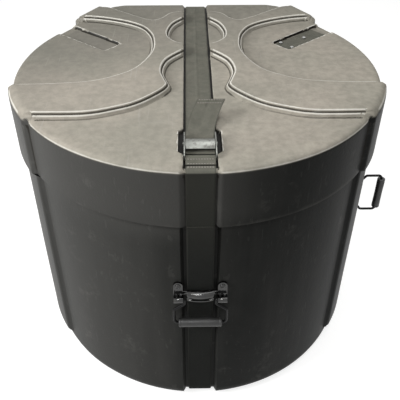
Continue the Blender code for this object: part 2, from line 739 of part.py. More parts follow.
def tab(side):
    """Round-topped tab above a lug, where a rivet goes through."""
    head = arc((side * TAB_CENTRE, TAB_HEIGHT), TAB_RADIUS, 0, 180, 8)
    outline = head + [(side * TAB_CENTRE - TAB_RADIUS, 0), (side * TAB_CENTRE + TAB_RADIUS, 0)]
    plate = prism([(-WEB_THICKNESS, outline), (PIVOT_STAND, outline)])
    # The prism's height becomes the depth into the wall, its y the height
    plate.data.transform(Matrix(((1, 0, 0, 0), (0, 0, 1, 0), (0, 1, 0, 0), (0, 0, 0, 1))))
    plate.data.flip_normals()
    return plate


def hood():
    """Arched cover over the strap between the lugs, rolled in at its lower edge."""
    bm = bmesh.new()
    rings = []
    for i in range(HOOD_STATIONS):
        share = 2 * i / (HOOD_STATIONS - 1) - 1
        reach = HOOD_REACH + HOOD_ARCH * (1 - share ** 2)
        outer = [(-reach * math.sin(t), WEB_LOW + (WEB_HIGH - WEB_LOW) * math.cos(t))
                 for t in (math.pi / 2 * k / HOOD_STEPS for k in range(HOOD_STEPS + 1))]
        outer += [(-reach, -HOOD_LOW), (-reach + WEB_THICKNESS, -HOOD_LOW)]
        inner = reach - WEB_THICKNESS
        rise = WEB_HIGH - WEB_LOW - WEB_THICKNESS
        outer += [(-inner * math.sin(t), WEB_LOW + rise * math.cos(t))
                  for t in (math.pi / 2 * k / HOOD_STEPS for k in range(HOOD_STEPS, -1, -1))]
        rings.append([bm.verts.new((share * HOOD_HALF, y, z)) for y, z in outer])
    skin(bm, rings)
    return solid(bm)


def bracket(name, parent, hinge_upright):
    body = block((-LUG_OUTER, -WEB_THICKNESS, WEB_LOW), (LUG_OUTER, PIVOT_STAND, WEB_HIGH))
    join(body, hood(), lug(-1), lug(1), tab(-1), tab(1))
    # Hollow under the web, where the strap passes
    throat = BAIL_THROAT - WIRE_RADIUS - WIRE_FIT
    cut(body, block((-throat, 0, -PIVOT_STAND), (throat, OVERRUN, PIVOT_STAND + WEB_HIGH)))
    cut(body, wall_tool(hinge_upright, TUB_RADIUS + SEAT))
    reach = LUG_OUTER + OVERRUN
    cut(body, rod(WIRE_RADIUS + WIRE_FIT, (-reach, -PIVOT_STAND, 0), (reach, -PIVOT_STAND, 0),
                  WIRE_FACETS * 2))
    for x in (-TAB_CENTRE, TAB_CENTRE):
        cut(body, rod(RIVET_RADIUS + RIVET_FIT, (x, -OVERRUN, TAB_HEIGHT),
                      (x, OVERRUN, TAB_HEIGHT)))
    return finish(body, name, "steel", parent)


def wall_depth(hinge_upright):
    """How far the tub's side lies behind its front line at a rivet."""
    away = TAB_HEIGHT if hinge_upright else TAB_CENTRE
    return TUB_RADIUS - math.sqrt(TUB_RADIUS ** 2 - away ** 2)


def rivets(name, parent, hinge_upright):
    """Domed head on the tab, shank through the wall, flat tail on the washer."""
    depth = wall_depth(hinge_upright)
    seat = -WEB_THICKNESS - SEAT
    inside = depth + WALL + RIVET_FIT + WASHER_THICKNESS + 4 * SEAT
    dome = [(RIVET_HEAD * math.cos(t), RIVET_HEAD_RISE * math.sin(t))
            for t in (math.pi / 2 * k / 4 for k in range(4))]
    profile = [(RIVET_TAIL, -inside - RIVET_TAIL_RISE), (RIVET_TAIL, -inside),
               (RIVET_RADIUS, -inside), (RIVET_RADIUS, -seat)]
    profile += [(radius, -seat + rise) for radius, rise in dome]
    for number, x in enumerate((-TAB_CENTRE, TAB_CENTRE), 1):
        one = lathe(profile, RIVET_FACETS)
        one.data.transform(Matrix.Translation((x, 0, TAB_HEIGHT))
                           @ Matrix.Rotation(math.radians(90), 4, "X"))
        finish(one, f"{name}_{number}", "rivet", parent)


def washers(name, parent, hinge_upright):
    """Backing washers inside the tub, their outer face following its wall."""
    back = wall_depth(hinge_upright) + WALL + WASHER_THICKNESS
    for number, x in enumerate((-TAB_CENTRE, TAB_CENTRE), 1):
        disc = rod(WASHER_RADIUS, (x, 0, TAB_HEIGHT), (x, back + 2 * SEAT, TAB_HEIGHT),
                   RIVET_FACETS)
        combine(disc, wall_tool(hinge_upright, TUB_RADIUS - WALL - SEAT), "INTERSECT")
        cut(disc, rod(RIVET_RADIUS + RIVET_FIT, (x, -OVERRUN, TAB_HEIGHT),
                      (x, OVERRUN, TAB_HEIGHT), RIVET_FACETS))
        finish(disc, f"{name}_{number}", "rivet", parent)


def bail_route():
    """Half of the wire's centre line, from its hinge end to the grip's middle."""
    points = [(PIN_END, 0), (BAIL_THROAT, 0), (BAIL_THROAT, BAIL_STRAIGHT)]
    points += [(BAIL_SPREAD, BAIL_SPLAY), (BAIL_SPREAD, ARM_LENGTH - BAIL_CORNER)]
    points += [(BAIL_SPREAD - BAIL_CORNER, ARM_LENGTH), (0, ARM_LENGTH)]
    return points


def rounded(points, reach, steps=3):
    """Replace the inner corners of a route by arcs that take up a straight length."""
    route = [Vector(points[0])]
    for before, here, after in zip(points, points[1:], points[2:]):
        here = Vector(here)
        back = (Vector(before) - here).normalized()
        ahead = (Vector(after) - here).normalized()
        half_turn = (math.pi - back.angle(ahead)) / 2
        radius = reach / math.tan(half_turn)
        middle = here + (back + ahead).normalized() * radius / math.cos(half_turn)
        start, end = here + back * reach - middle, here + ahead * reach - middle
        # angle_signed counts clockwise
        turn = -start.angle_signed(end)
        for i in range(steps + 1):
            route.append(middle + Matrix.Rotation(turn * i / steps, 2) @ start)
    route.append(Vector(points[-1]))
    return route


def bail(name, parent):
    """Bent wire hanging down from its hinge line, which is local X."""
    half = rounded(bail_route(), BAIL_BEND)
    line = [(x, -z) for x, z in half] + [(-x, -z) for x, z in reversed(half[:-1])]
    bm = bmesh.new()
    rings = []
    for i, here in enumerate(line):
        before = Vector(line[max(i - 1, 0)])
        after = Vector(line[min(i + 1, len(line) - 1)])
        along = (after - before).normalized()
        across = Vector((along.y, -along.x))
        turns = [2 * math.pi * k / WIRE_FACETS for k in range(WIRE_FACETS)]
        rings.append([bm.verts.new((here[0] + across.x * WIRE_RADIUS * math.cos(t),
                                    WIRE_RADIUS * math.sin(t),
                                    here[1] + across.y * WIRE_RADIUS * math.cos(t)))
                      for t in turns])
    skin(bm, rings)
    return finish(solid(bm), name, "wire", parent)


def grip(name, parent):
    """Plastic tube on the bail's straight run."""
    half = GRIP_LENGTH / 2
    profile = [(radius, height) for height, radius in (
        (-half, GRIP_RADIUS - GRIP_ROUND), (-half + GRIP_ROUND, GRIP_RADIUS),
        (half - GRIP_ROUND, GRIP_RADIUS), (half, GRIP_RADIUS - GRIP_ROUND))]
    tube = lathe(profile, GRIP_FACETS)
    cut(tube, rod(WIRE_RADIUS + GRIP_FIT, (0, 0, -half - OVERRUN), (0, 0, half + OVERRUN)))
    tube.data.transform(Matrix.Rotation(math.radians(90), 4, "Y"))
    tube.data.transform(Matrix.Translation((0, 0, -ARM_LENGTH)))
    return finish(tube, name, "grip", parent)


def handle(prefix, root, place, hinge_upright, swing):
    """Bracket, rivets, washers, bail and grip at a place on the tub's side."""
    base = empty(prefix + "_place", root)
    base.matrix_local = place
    bracket(prefix + "_bracket", base, hinge_upright)
    rivets(prefix + "_rivet", base, hinge_upright)
    washers(prefix + "_washer", base, hinge_upright)
    hinge = empty(prefix + "_hinge", base, (0, -PIVOT_STAND, 0), (math.radians(swing), 0, 0))
    bail(prefix + "_bail", hinge)
    grip(prefix + "_grip", hinge)


def handle_places():
    """Matrices that carry a handle's own frame to the front and to the side."""
    front = Matrix.Translation((0, -TUB_RADIUS, HANDLE_HEIGHT))
    upright = Matrix(((0, -1, 0), (0, 0, 1), (-1, 0, 0))).to_4x4()
    side = Matrix.Translation((TUB_RADIUS, 0, SIDE_HANDLE_HEIGHT)) @ upright
    return front, side


def patch_rivet_places():
    frame = pocket_frame(1)
    places = []
    for along, across in PATCH_RIVET_SHARES:
        spot = frame @ Vector((PATCH_START + along * PATCH_LENGTH, across * PATCH_WIDTH, 0))
        places.append((spot.x, spot.y))
    return places


def pocket_patch(parent):
    """Webbing laid in the right pocket and riveted down."""
    low = CHANNEL_FLOOR + SEAT
    patch = block((PATCH_START, -PATCH_WIDTH / 2, low),
                  (PATCH_START + PATCH_LENGTH, PATCH_WIDTH / 2, low + STRAP_THICKNESS))
    patch.data.transform(pocket_frame(1))
    for place in patch_rivet_places():
        cut(patch, rod(PATCH_SHANK + RIVET_FIT, (*place, LID_TOP - OVERRUN),
                       (*place, LID_TOP + OVERRUN)))
    return finish(patch, "pocket_patch", "webbing", parent)


def patch_rivets(parent):
    """Rivets through the patch and the pocket's floor."""
    top = CHANNEL_FLOOR + STRAP_THICKNESS + 2 * SEAT
    under = CHANNEL_FLOOR - WALL - SEAT
    tail = PATCH_SHANK + PATCH_RIVET_RISE
    profile = [(tail, under - PATCH_RIVET_RISE), (tail, under), (PATCH_SHANK, under),
               (PATCH_SHANK, top), (PATCH_RIVET_RADIUS, top),
               (PATCH_RIVET_RADIUS - PATCH_RIVET_RISE, top + PATCH_RIVET_RISE)]
    for number, place in enumerate(patch_rivet_places(), 1):
        finish(lathe(profile, RIVET_FACETS), f"pocket_rivet_{number}", "rivet", parent,
               (*place, 0))


def build():
    clear_scene()
    root = empty("case_axis", location=(AXIS_X, AXIS_Y, 0))
    front, side = handle_places()
    tub_shell(root, (front, side))
    lid_shell(root)
    body_strap(root)
    front_strap(root)
    rear_strap(root)
    buckle_frame(root)
    buckle_pin(root)
    buckle_lever(root)
    buckle_spring(root)
    pocket_patch(root)
    patch_rivets(root)
    handle("front_handle", root, front, False, 0)
    handle("side_handle", root, side, True, -90)


build()
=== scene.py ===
# %% [markdown]
# # A drum case, dressed around its solid model
#
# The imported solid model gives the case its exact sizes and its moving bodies. This
# notebook dresses it. Each piece that needs a softer or finer form is modelled again
# around the solid one, and each finish is made from shader nodes.

# %% Load the frame
import math

import bmesh
import bpy
import numpy
from mathutils import Matrix, Vector, noise
from mathutils.bvhtree import BVHTree


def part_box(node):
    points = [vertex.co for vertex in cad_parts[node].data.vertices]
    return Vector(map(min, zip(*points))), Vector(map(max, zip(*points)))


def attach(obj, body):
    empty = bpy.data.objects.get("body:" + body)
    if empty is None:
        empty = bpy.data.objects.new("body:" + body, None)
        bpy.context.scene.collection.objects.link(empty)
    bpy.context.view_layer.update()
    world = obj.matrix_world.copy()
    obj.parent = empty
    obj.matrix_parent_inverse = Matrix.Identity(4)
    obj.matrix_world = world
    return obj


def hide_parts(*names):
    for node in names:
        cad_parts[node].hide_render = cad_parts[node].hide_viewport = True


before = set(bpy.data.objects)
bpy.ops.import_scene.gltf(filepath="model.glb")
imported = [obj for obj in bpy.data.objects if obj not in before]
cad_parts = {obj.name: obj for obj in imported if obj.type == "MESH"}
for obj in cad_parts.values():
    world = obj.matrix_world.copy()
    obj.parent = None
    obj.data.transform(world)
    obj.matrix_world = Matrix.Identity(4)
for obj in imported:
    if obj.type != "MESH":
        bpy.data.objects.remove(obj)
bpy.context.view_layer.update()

# %% [markdown]
# The tub and the lid are round, so most of this notebook measures from the case's own
# upright axis. The lever's pin lies across it and the side grip stands level with it,
# which gives the two numbers. At the back both shells are drawn out to three flats, the
# heel on which the case can stand, and heel_share says how far they reach at an angle.

# %% Find the case's axis
pin_low, pin_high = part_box("buckle_pin")
grip_low, grip_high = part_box("side_handle_grip")
AXIS = Vector(((pin_low.x + pin_high.x) / 2, (grip_low.y + grip_high.y) / 2, 0))
LID_RADIUS = 0.356
LID_TOP = 0.597
LID_ROUND = 0.009
SKIRT_BOTTOM = 0.484
RIM_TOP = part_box("body_shell")[1].z
CHANNEL_FLOOR = 0.591
# Where the lid's cages turn from the top to the side: radius and height
LID_TURN = (0.340, 0.580)
# Where the heel's side and back flats face, in degrees from the side, and the share of
# the radius at which its corners are cut
HEEL_LOW, HEEL_HIGH, HEEL_CORNER = 30, 90, 1.125


def heel_share(x, y):
    """The shells' reach in a direction, as a share of their radius."""
    from_side = math.degrees(math.atan2(y, abs(x)))
    if not HEEL_LOW < from_side <= HEEL_HIGH:
        return 1.0
    to_flat = min(from_side - HEEL_LOW, HEEL_HIGH - from_side)
    return min(1 / math.cos(math.radians(to_flat)), HEEL_CORNER)


def reach_of(place):
    """Distance from the axis, brought back to the round part's scale."""
    return math.hypot(place.x, place.y) / heel_share(place.x, place.y)


print("axis:", AXIS)


# %% [markdown]
# The camera stands at the photograph's angle: a little above the lid, looking down
# through a short telephoto lens. Soft boxes hang to the left and above, and a small one
# in front picks out the buckle. A sun lamp would draw the shadows too hard.

# %% Camera
CAMERA_PLACE = AXIS + Vector((-0.0167, -1.0719, 1.104))
CAMERA_PITCH, CAMERA_HEADING = 38.1, -0.89
CAMERA_LENS, CAMERA_SHIFT, SENSOR_WIDTH = 52.56, 0.00675, 36


def look(location, pitch, heading, lens, shift):
    """A camera at a place, tilted down by its pitch and turned by its heading."""
    data = bpy.data.cameras.new("camera")
    data.sensor_width = SENSOR_WIDTH
    data.lens = lens
    data.shift_x = shift
    camera = bpy.data.objects.new("camera", data)
    camera.location = location
    camera.rotation_euler = (math.radians(90 - pitch), 0, math.radians(heading))
    bpy.context.scene.collection.objects.link(camera)
    bpy.context.scene.camera = camera


look(CAMERA_PLACE, CAMERA_PITCH, CAMERA_HEADING, CAMERA_LENS, CAMERA_SHIFT)
print("camera at:", CAMERA_PLACE)

# %% Lights
# Each lamp's name, place, the point that it faces, its side in metres and its watts
LAMPS = (("key_light", (-1.75, -0.85, 1.5), (0, 0, 0.45), 0.9, 42),
         ("top_light", (0.4, 0.1, 2.5), (0, 0, 0.5), 1.5, 24),
         ("front_light", (-0.15, -1.4, 2.1), (0, -0.3, 0.4), 0.25, 7))


def soft_box(name, place, aim, size, watts):
    """A square lamp that faces a point."""
    data = bpy.data.lights.new(name, "AREA")
    data.energy = watts
    data.size = size
    lamp = bpy.data.objects.new(name, data)
    lamp.location = place
    lamp.rotation_euler = (Vector(aim) - Vector(place)).to_track_quat("-Z", "Y").to_euler()
    bpy.context.scene.collection.objects.link(lamp)


for lamp in LAMPS:
    soft_box(*lamp)
bpy.context.scene.view_settings.view_transform = "Standard"
print("lamps:", len(LAMPS))


# %% [markdown]
# Every finish here is a network of shader nodes, because noise that is worked out in
# place has no edges, no seams and no fixed resolution, which a painted picture has. A
# few helpers make the networks short to write: an input may be fed by another node's
# socket, or simply set.

# %% Helpers for nodes
def link(tree, source, slot):
    tree.links.new(source, slot)


def fill(tree, slot, value):
    """Feed an input from a socket, or set it to a number or a colour."""
    if isinstance(value, bpy.types.NodeSocket):
        link(tree, value, slot)
    else:
        slot.default_value = (*value, 1) if isinstance(value, tuple) else value


def node(tree, kind, **settings):
    """A shader node with some of its properties and input values set."""
    made = tree.nodes.new(kind)
    for key, value in settings.items():
        if key in made.inputs:
            made.inputs[key].default_value = value
        else:
            setattr(made, key, value)
    return made


def math_node(tree, operation, *values):
    made = node(tree, "ShaderNodeMath", operation=operation)
    for slot, value in zip(made.inputs, values):
        fill(tree, slot, value)
    return made.outputs[0]


def plus(tree, a, b):
    return math_node(tree, "ADD", a, b)


def minus(tree, a, b):
    return math_node(tree, "SUBTRACT", a, b)


def times(tree, a, b):
    return math_node(tree, "MULTIPLY", a, b)


# %% Helpers for colours, masks and places
def mix(tree, factor, a, b):
    """Mix two colours; each may be a socket or a value."""
    made = node(tree, "ShaderNodeMix", data_type="RGBA")
    for number, value in ((0, factor), (6, a), (7, b)):
        fill(tree, made.inputs[number], value)
    return made.outputs[2]


def stain(tree, colour, mask, amount, other):
    """Take a colour towards another one where a mask says so."""
    return mix(tree, times(tree, mask, amount), colour, other)


def remap(tree, value, low, high, to_low=0.0, to_high=1.0):
    """Bring a range of values softly to another one."""
    made = node(tree, "ShaderNodeMapRange", interpolation_type="SMOOTHSTEP")
    for slot, given in zip(made.inputs, (value, low, high, to_low, to_high)):
        fill(tree, slot, given)
    return made.outputs["Result"]


def noise_at(tree, place, scale, detail, stretch=None, rough=0.5):
    """Noise over Object coordinates, stretched by a Mapping where asked."""
    if stretch:
        mapping = node(tree, "ShaderNodeMapping", Scale=stretch)
        link(tree, place, mapping.inputs["Vector"])
        place = mapping.outputs["Vector"]
    made = node(tree, "ShaderNodeTexNoise", Scale=scale, Detail=detail, Roughness=rough)
    link(tree, place, made.inputs["Vector"])
    return made.outputs["Fac"]


def axes_of(tree, vector):
    """A vector's X, Y and Z as sockets."""
    made = node(tree, "ShaderNodeSeparateXYZ")
    link(tree, vector, made.inputs[0])
    return made.outputs


def object_place(tree):
    return node(tree, "ShaderNodeTexCoord").outputs["Object"]


def attribute(tree, name):
    """A value kept on a mesh's corners."""
    return node(tree, "ShaderNodeAttribute", attribute_name=name).outputs["Fac"]


# %% Helpers for materials
def finish_for(name, **values):
    """A material with a Principled shader, whose plain values are set on its sockets."""
    made = bpy.data.materials.new(name)
    made.use_nodes = True
    surface = made.node_tree.nodes["Principled BSDF"]
    for key, value in values.items():
        surface.inputs[key.replace("_", " ")].default_value = value
    return made, made.node_tree, surface


def paint(tree, surface, colour, rough=None):
    """Feed a shader its colour and, where it varies, its roughness."""
    link(tree, colour, surface.inputs["Base Color"])
    if rough:
        link(tree, rough, surface.inputs["Roughness"])


def bump(tree, height, strength, distance, surface):
    made = node(tree, "ShaderNodeBump", Strength=strength, Distance=distance)
    link(tree, height, made.inputs["Height"])
    link(tree, made.outputs["Normal"], surface.inputs["Normal"])


# %% [markdown]
# White paper seen by the camera should be white, but the light that reaches the case
# should stay plain. So the world and the floor look at what kind of ray asks: rays from
# the camera, and those mirrored by metal, see white, and the others see a softer grey.

# %% World and floor
SOFT_SKY, WHITE = 0.18, 1.0
FLOOR_SIZE, FLOOR_GLOW = 9.0, 0.80
FLOOR_GREY = (0.46, 0.46, 0.45, 1)


def seen_ray(tree):
    """A mask for camera, mirror and glass rays."""
    path = node(tree, "ShaderNodeLightPath").outputs
    seen = math_node(tree, "MAXIMUM", path["Is Camera Ray"], path["Is Glossy Ray"])
    return math_node(tree, "MAXIMUM", seen, path["Is Transmission Ray"])


def white_world(soft, seen):
    world = bpy.data.worlds.new("world")
    bpy.context.scene.world = world
    world.use_nodes = True
    tree = world.node_tree
    background = tree.nodes["Background"]
    strength = node(tree, "ShaderNodeMapRange", **{"To Min": soft, "To Max": seen})
    link(tree, seen_ray(tree), strength.inputs["Value"])
    link(tree, strength.outputs["Result"], background.inputs["Strength"])
    background.inputs["Color"].default_value = (1, 1, 1, 1)


def pale_floor(size, colour, glow):
    """A large plane under the case, with its own soft shadow."""
    bm = bmesh.new()
    bmesh.ops.create_grid(bm, x_segments=1, y_segments=1, size=size)
    mesh = bpy.data.meshes.new("floor")
    bm.to_mesh(mesh)
    bm.free()
    floor = bpy.data.objects.new("floor", mesh)
    bpy.context.scene.collection.objects.link(floor)
    paper, tree, surface = finish_for("floor_paper", Base_Color=colour, Roughness=0.9,
                                      Specular_IOR_Level=0.1, Emission_Color=(1, 1, 1, 1))
    link(tree, times(tree, seen_ray(tree), glow), surface.inputs["Emission Strength"])
    floor.data.materials.append(paper)


white_world(SOFT_SKY, WHITE)
pale_floor(FLOOR_SIZE, FLOOR_GREY, FLOOR_GLOW)
print("floor, metres from its middle to its sides:", FLOOR_SIZE)


# %% [markdown]
# Several finishes share an effect, so each effect is a node group with named sockets.
# Dust settles on what faces up, in soft clouds, and hands rub it thin again; the paleness
# of that dust is partly painted sheen. Grain is the fine skin that a mould leaves on
# plastic. As groups they are built once, and each finish uses them with its own values.

# %% Helpers for node groups
def new_group(name, inputs, outputs):
    """A node group with inputs, (name, kind, value), and outputs that are numbers."""
    tree = bpy.data.node_groups.new(name, "ShaderNodeTree")
    for label, kind, value in inputs:
        made = tree.interface.new_socket(name=label, in_out="INPUT", socket_type=kind)
        if value is not None:
            made.default_value = value
    for label in outputs:
        tree.interface.new_socket(name=label, in_out="OUTPUT", socket_type="NodeSocketFloat")
    return tree, node(tree, "NodeGroupInput").outputs, node(tree, "NodeGroupOutput").inputs


def use_group(tree, group, slot, vector, **values):
    """A group placed in a material, with its vector fed and its values set."""
    made = node(tree, "ShaderNodeGroup", node_tree=group)
    link(tree, vector, made.inputs[slot])
    for key, value in values.items():
        made.inputs[key].default_value = value
    return made.outputs


# %% Settled dust with painted sheen, and rubbed marks
DUST_SOFTNESS = 0.35


def dust_and_sheen_group():
    """Masks for dust on upward faces (partly painted sheen), rubbed patches and fine scratches."""
    tree, given, out = new_group(
        "dust_sheen_and_wear", (("Place", "NodeSocketVector", None),
                         ("Steepness", "NodeSocketFloat", 0.75)), ("Dust", "Rub", "Scratch"))
    place, steepness = given["Place"], given["Steepness"]
    upward = axes_of(tree, node(tree, "ShaderNodeNewGeometry").outputs["Normal"])["Z"]
    broad = noise_at(tree, place, 7, 4)
    fine = noise_at(tree, place, 70, 5, rough=0.65)
    facing = plus(tree, upward, times(tree, minus(tree, broad, 0.5), 0.3))
    lying = remap(tree, facing, minus(tree, steepness, DUST_SOFTNESS), steepness)
    grainy = remap(tree, fine, 0.25, 0.75, 0.76, 1.02)
    patchy = remap(tree, broad, 0.3, 0.7, 0.93, 1.0)
    link(tree, times(tree, lying, times(tree, grainy, patchy)), out["Dust"])
    worn = noise_at(tree, place, 18, 6, rough=0.7)
    link(tree, remap(tree, worn, 0.56, 0.78), out["Rub"])
    upright = noise_at(tree, place, 9, 3, (1, 34, 3))
    level = noise_at(tree, place, 8, 3, (30, 1, 4))
    link(tree, math_node(tree, "MAXIMUM", remap(tree, upright, 0.665, 0.70),
                         remap(tree, level, 0.675, 0.71)), out["Scratch"])
    return tree


DUST_AND_SHEEN_MARKS = dust_and_sheen_group()


# %% Moulded grain
def grain_group():
    """Height of a moulded skin: shallow pebbles with a finer tooth on them."""
    tree, given, out = new_group(
        "moulded_grain", (("Place", "NodeSocketVector", None),
                          ("Pebbles", "NodeSocketFloat", 260.0)), ("Height",))
    cells = node(tree, "ShaderNodeTexVoronoi", feature="SMOOTH_F1")
    link(tree, given["Place"], cells.inputs["Vector"])
    link(tree, given["Pebbles"], cells.inputs["Scale"])
    tooth = noise_at(tree, given["Place"], 700, 3)
    link(tree, plus(tree, cells.outputs["Distance"], times(tree, tooth, 0.6)), out["Height"])
    return tree


GRAIN = grain_group()
print("node groups:", DUST_AND_SHEEN_MARKS.name, GRAIN.name)


# %% [markdown]
# The shells are black polyethylene, moulded in a turning oven, with years of handling on
# them. From above they look beige-grey, because dust and rubbed skin scatter the light,
# and part of that paleness on the upward faces is painted sheen. From the side they are
# still near black with soft streaks, with painted light on the left side and painted
# shade on the right. One flat grey could not do both, so the finish is laid up as it came
# about: plastic, then dust, then wear, with painted highlights and shade among them.

# %% Bare plastic, with painted light and shade on its sides
BLACK_PLASTIC = ((0.010, 0.0105, 0.010), (0.022, 0.023, 0.021))
STREAKED = (0.030, 0.030, 0.028)
LEFT_SIDE_LIGHT = (0.066, 0.065, 0.061)
RIGHT_SIDE_SHADE = (0.005, 0.0053, 0.005)


def plastic_with_side_light(tree, spot, place, mottled):
    """Black with soft streaks, with painted light on the left side and painted shade on the right.
    """
    streaks = noise_at(tree, place, 6, 4, (3.2, 3.2, 0.35))
    colour = mix(tree, mottled, *BLACK_PLASTIC)
    colour = mix(tree, remap(tree, streaks, 0.42, 0.75), colour, STREAKED)
    # Painted light: the left side, the skirt most of all, is lightened as if lit from the left.
    on_skirt = remap(tree, spot["Z"], 0.42, 0.52)
    to_left = minus(tree, spot["X"], times(tree, on_skirt, 0.14))
    colour = stain(tree, colour, remap(tree, to_left, 0.0, -0.22),
                   plus(tree, 0.66, times(tree, on_skirt, 0.30)), LEFT_SIDE_LIGHT)
    # Painted shade: the right side is darkened as if turned away from the light.
    return stain(tree, colour, remap(tree, spot["X"], 0.06, 0.28), 0.4, RIGHT_SIDE_SHADE)


# %% Dust on the plastic, partly painted sheen
DUST_AND_SHEEN_TONES = ((0.325, 0.308, 0.258), (0.405, 0.368, 0.312))
DUST_SPECKS = (0.26, 0.25, 0.215)
BACK_LEFT_DARKER = (0.125, 0.125, 0.108)


def shell_dust_and_sheen(tree, spot, place, mottled):
    """Beige dust in soft clouds, partly painted sheen, darker towards the back and the left."""
    clouds = noise_at(tree, place, 5, 4, rough=0.45)
    colour = mix(tree, remap(tree, clouds, 0.3, 0.7), *DUST_AND_SHEEN_TONES)
    colour = stain(tree, colour, mottled, 0.11, DUST_SPECKS)
    # The colour is taken darker towards the back and the left.
    to_back = remap(tree, minus(tree, spot["Y"], times(tree, spot["X"], 0.6)), -0.12, 0.42)
    return stain(tree, colour, to_back, 0.62, BACK_LEFT_DARKER)


# %% Wear on the plastic, with painted highlights and painted shade
GROOVE_SHADE = (0.018, 0.016, 0.012)
PAINTED_CHANNEL_SHADE = (0.004, 0.004, 0.004)
WORN_EDGE_AND_HIGHLIGHT = (0.72, 0.70, 0.64)
RUBBED = (0.36, 0.35, 0.32)
SCRATCHED = (0.42, 0.41, 0.38)


def shell_wear_and_light(tree, colour, marks, mottled, dust_and_sheen, kept):
    """Painted shade in the grooves and the channels, pale worn edges with painted highlights, rubs
    and scratches.
    """
    worn = attribute(tree, "worn")
    # Painted shade: the bead's groove and other hollows are darkened as if in shade.
    groove = remap(tree, times(tree, worn, -1.0), 0.035, 0.16)
    colour = stain(tree, colour, groove, 0.80, GROOVE_SHADE)
    # Painted shade on the floors of the channels and the buckle's recess.
    channel = remap(tree, attribute(tree, "shade_and_shelter"), 0.6, 1.0)
    colour = stain(tree, colour, channel, 0.75, PAINTED_CHANNEL_SHADE)
    # Edges that stand proud are rubbed pale, with a painted highlight on them.
    edge_wear_and_highlight = plus(tree, worn, times(tree, minus(tree, mottled, 0.5), 0.16))
    edge = times(tree, remap(tree, edge_wear_and_highlight, 0.07, 0.20), kept)
    colour = stain(tree, colour, edge, plus(tree, 0.05, times(tree, dust_and_sheen, 0.73)), WORN_EDGE_AND_HIGHLIGHT)
    colour = stain(tree, colour, marks["Rub"], 0.12, RUBBED)
    shown = plus(tree, 0.03, times(tree, dust_and_sheen, 0.17))
    return stain(tree, colour, marks["Scratch"], shown, SCRATCHED)


# %% Shell plastic
def shell_plastic():
    made, tree, surface = finish_for("shell_plastic", Specular_IOR_Level=0.04)
    place = object_place(tree)
    spot = axes_of(tree, place)
    marks = use_group(tree, DUST_AND_SHEEN_MARKS, "Place", place, Steepness=0.45)
    mottled = noise_at(tree, place, 26, 5, rough=0.6)
    # Dust is kept off the corners that are sheltered or get painted shade.
    kept = remap(tree, attribute(tree, "shade_and_shelter"), 0.0, 0.65, 1.0, 0.08)
    # The dust's paleness on upward faces is partly painted sheen.
    dust_and_sheen = times(tree, marks["Dust"], kept)
    colour = mix(tree, dust_and_sheen, plastic_with_side_light(tree, spot, place, mottled),
                 shell_dust_and_sheen(tree, spot, place, mottled))
    paint(tree, surface, shell_wear_and_light(tree, colour, marks, mottled, dust_and_sheen, kept),
          plus(tree, 0.42, times(tree, dust_and_sheen, 0.35)))
    grain = use_group(tree, GRAIN, "Place", place)["Height"]
    bump(tree, plus(tree, grain, times(tree, mottled, 1.2)), 0.35, 0.0006, surface)
    return made


SHELL = shell_plastic()
print("nodes in the shell's plastic:", len(SHELL.node_tree.nodes))


# %% [markdown]
# The tub and the lid are cast again as finer skins. A round cage is spun round the case,
# and each of its corners is dropped onto the solid along a straight line, which gives
# the outside. A second cage is thrown outwards from within and gives the inside, and the
# open edge joins the two, so the wall keeps its thickness. A Shrinkwrap modifier could do
# much of this, but it moves corners to the nearest point, along an axis or along their
# normals. A line that is chosen for each corner keeps the rows even.

# %% A spun cage
TURNS = 440
HAIR = 0.0003


def spin_round(bm, profile, turns, closed=False):
    """Spin a chain of (radius, height) points once round the upright axis."""
    chain = [bm.verts.new((radius, 0, height)) for radius, height in profile]
    ends = chain[1:] + chain[:1] if closed else chain[1:]
    edges = [bm.edges.new(pair) for pair in zip(chain, ends)]
    bmesh.ops.spin(bm, geom=chain + edges, cent=(0, 0, 0), axis=(0, 0, 1), dvec=(0, 0, 0),
                   angle=2 * math.pi, steps=turns, use_merge=True)


def spun_cage(profile):
    """A round cage, drawn out at the back to the heel's flats."""
    bm = bmesh.new()
    spin_round(bm, profile, TURNS)
    for v in bm.verts:
        share = heel_share(v.co.x, v.co.y)
        v.co.x *= share
        v.co.y *= share
    return bm


def score(bm, point, along, wanted, gap=HAIR):
    """Cut the cage along two close lines, so that a wall can stand between them."""
    across = Vector((-along[1], along[0], 0)).normalized()
    for side in (-1, 1):
        faces = [f for f in bm.faces if wanted(f.calc_center_median())]
        edges = {e for f in faces for e in f.edges}
        verts = {v for f in faces for v in f.verts}
        bmesh.ops.bisect_plane(bm, geom=faces + list(edges) + list(verts), dist=HAIR / 10,
                               plane_co=Vector((*point, 0)) + across * side * gap,
                               plane_no=across)


def target(place, radius, height, below):
    """The point that a cage's corner is thrown at."""
    flat = Vector((place.x, place.y, 0))
    held = flat.normalized() * min(flat.length, radius * heel_share(place.x, place.y))
    level = max(place.z, height) if below else min(place.z, height)
    return Vector((held.x, held.y, level))


def cast(bm, tree, radius, height, below, outside):
    """Move each corner to where its line meets the solid. A line that slips through
    a rivet hole takes its place from the corners round it."""
    missed = []
    for v in bm.verts:
        goal = target(v.co, radius, height, below)
        start, way = (v.co, goal - v.co) if outside else (goal, v.co - goal)
        hit = tree.ray_cast(start + AXIS, way.normalized(), way.length)[0]
        if hit is None:
            missed.append(v)
        else:
            v.co = hit - AXIS
    waiting = set(missed)
    while waiting:
        for v in list(waiting):
            known = [e.other_vert(v).co for e in v.link_edges if e.other_vert(v) not in waiting]
            if len(known) > 1:
                v.co = sum(known, Vector()) / len(known)
                waiting.discard(v)
    return len(missed)


def steps(start, end, count):
    return [start + (end - start) * i / count for i in range(count + 1)]


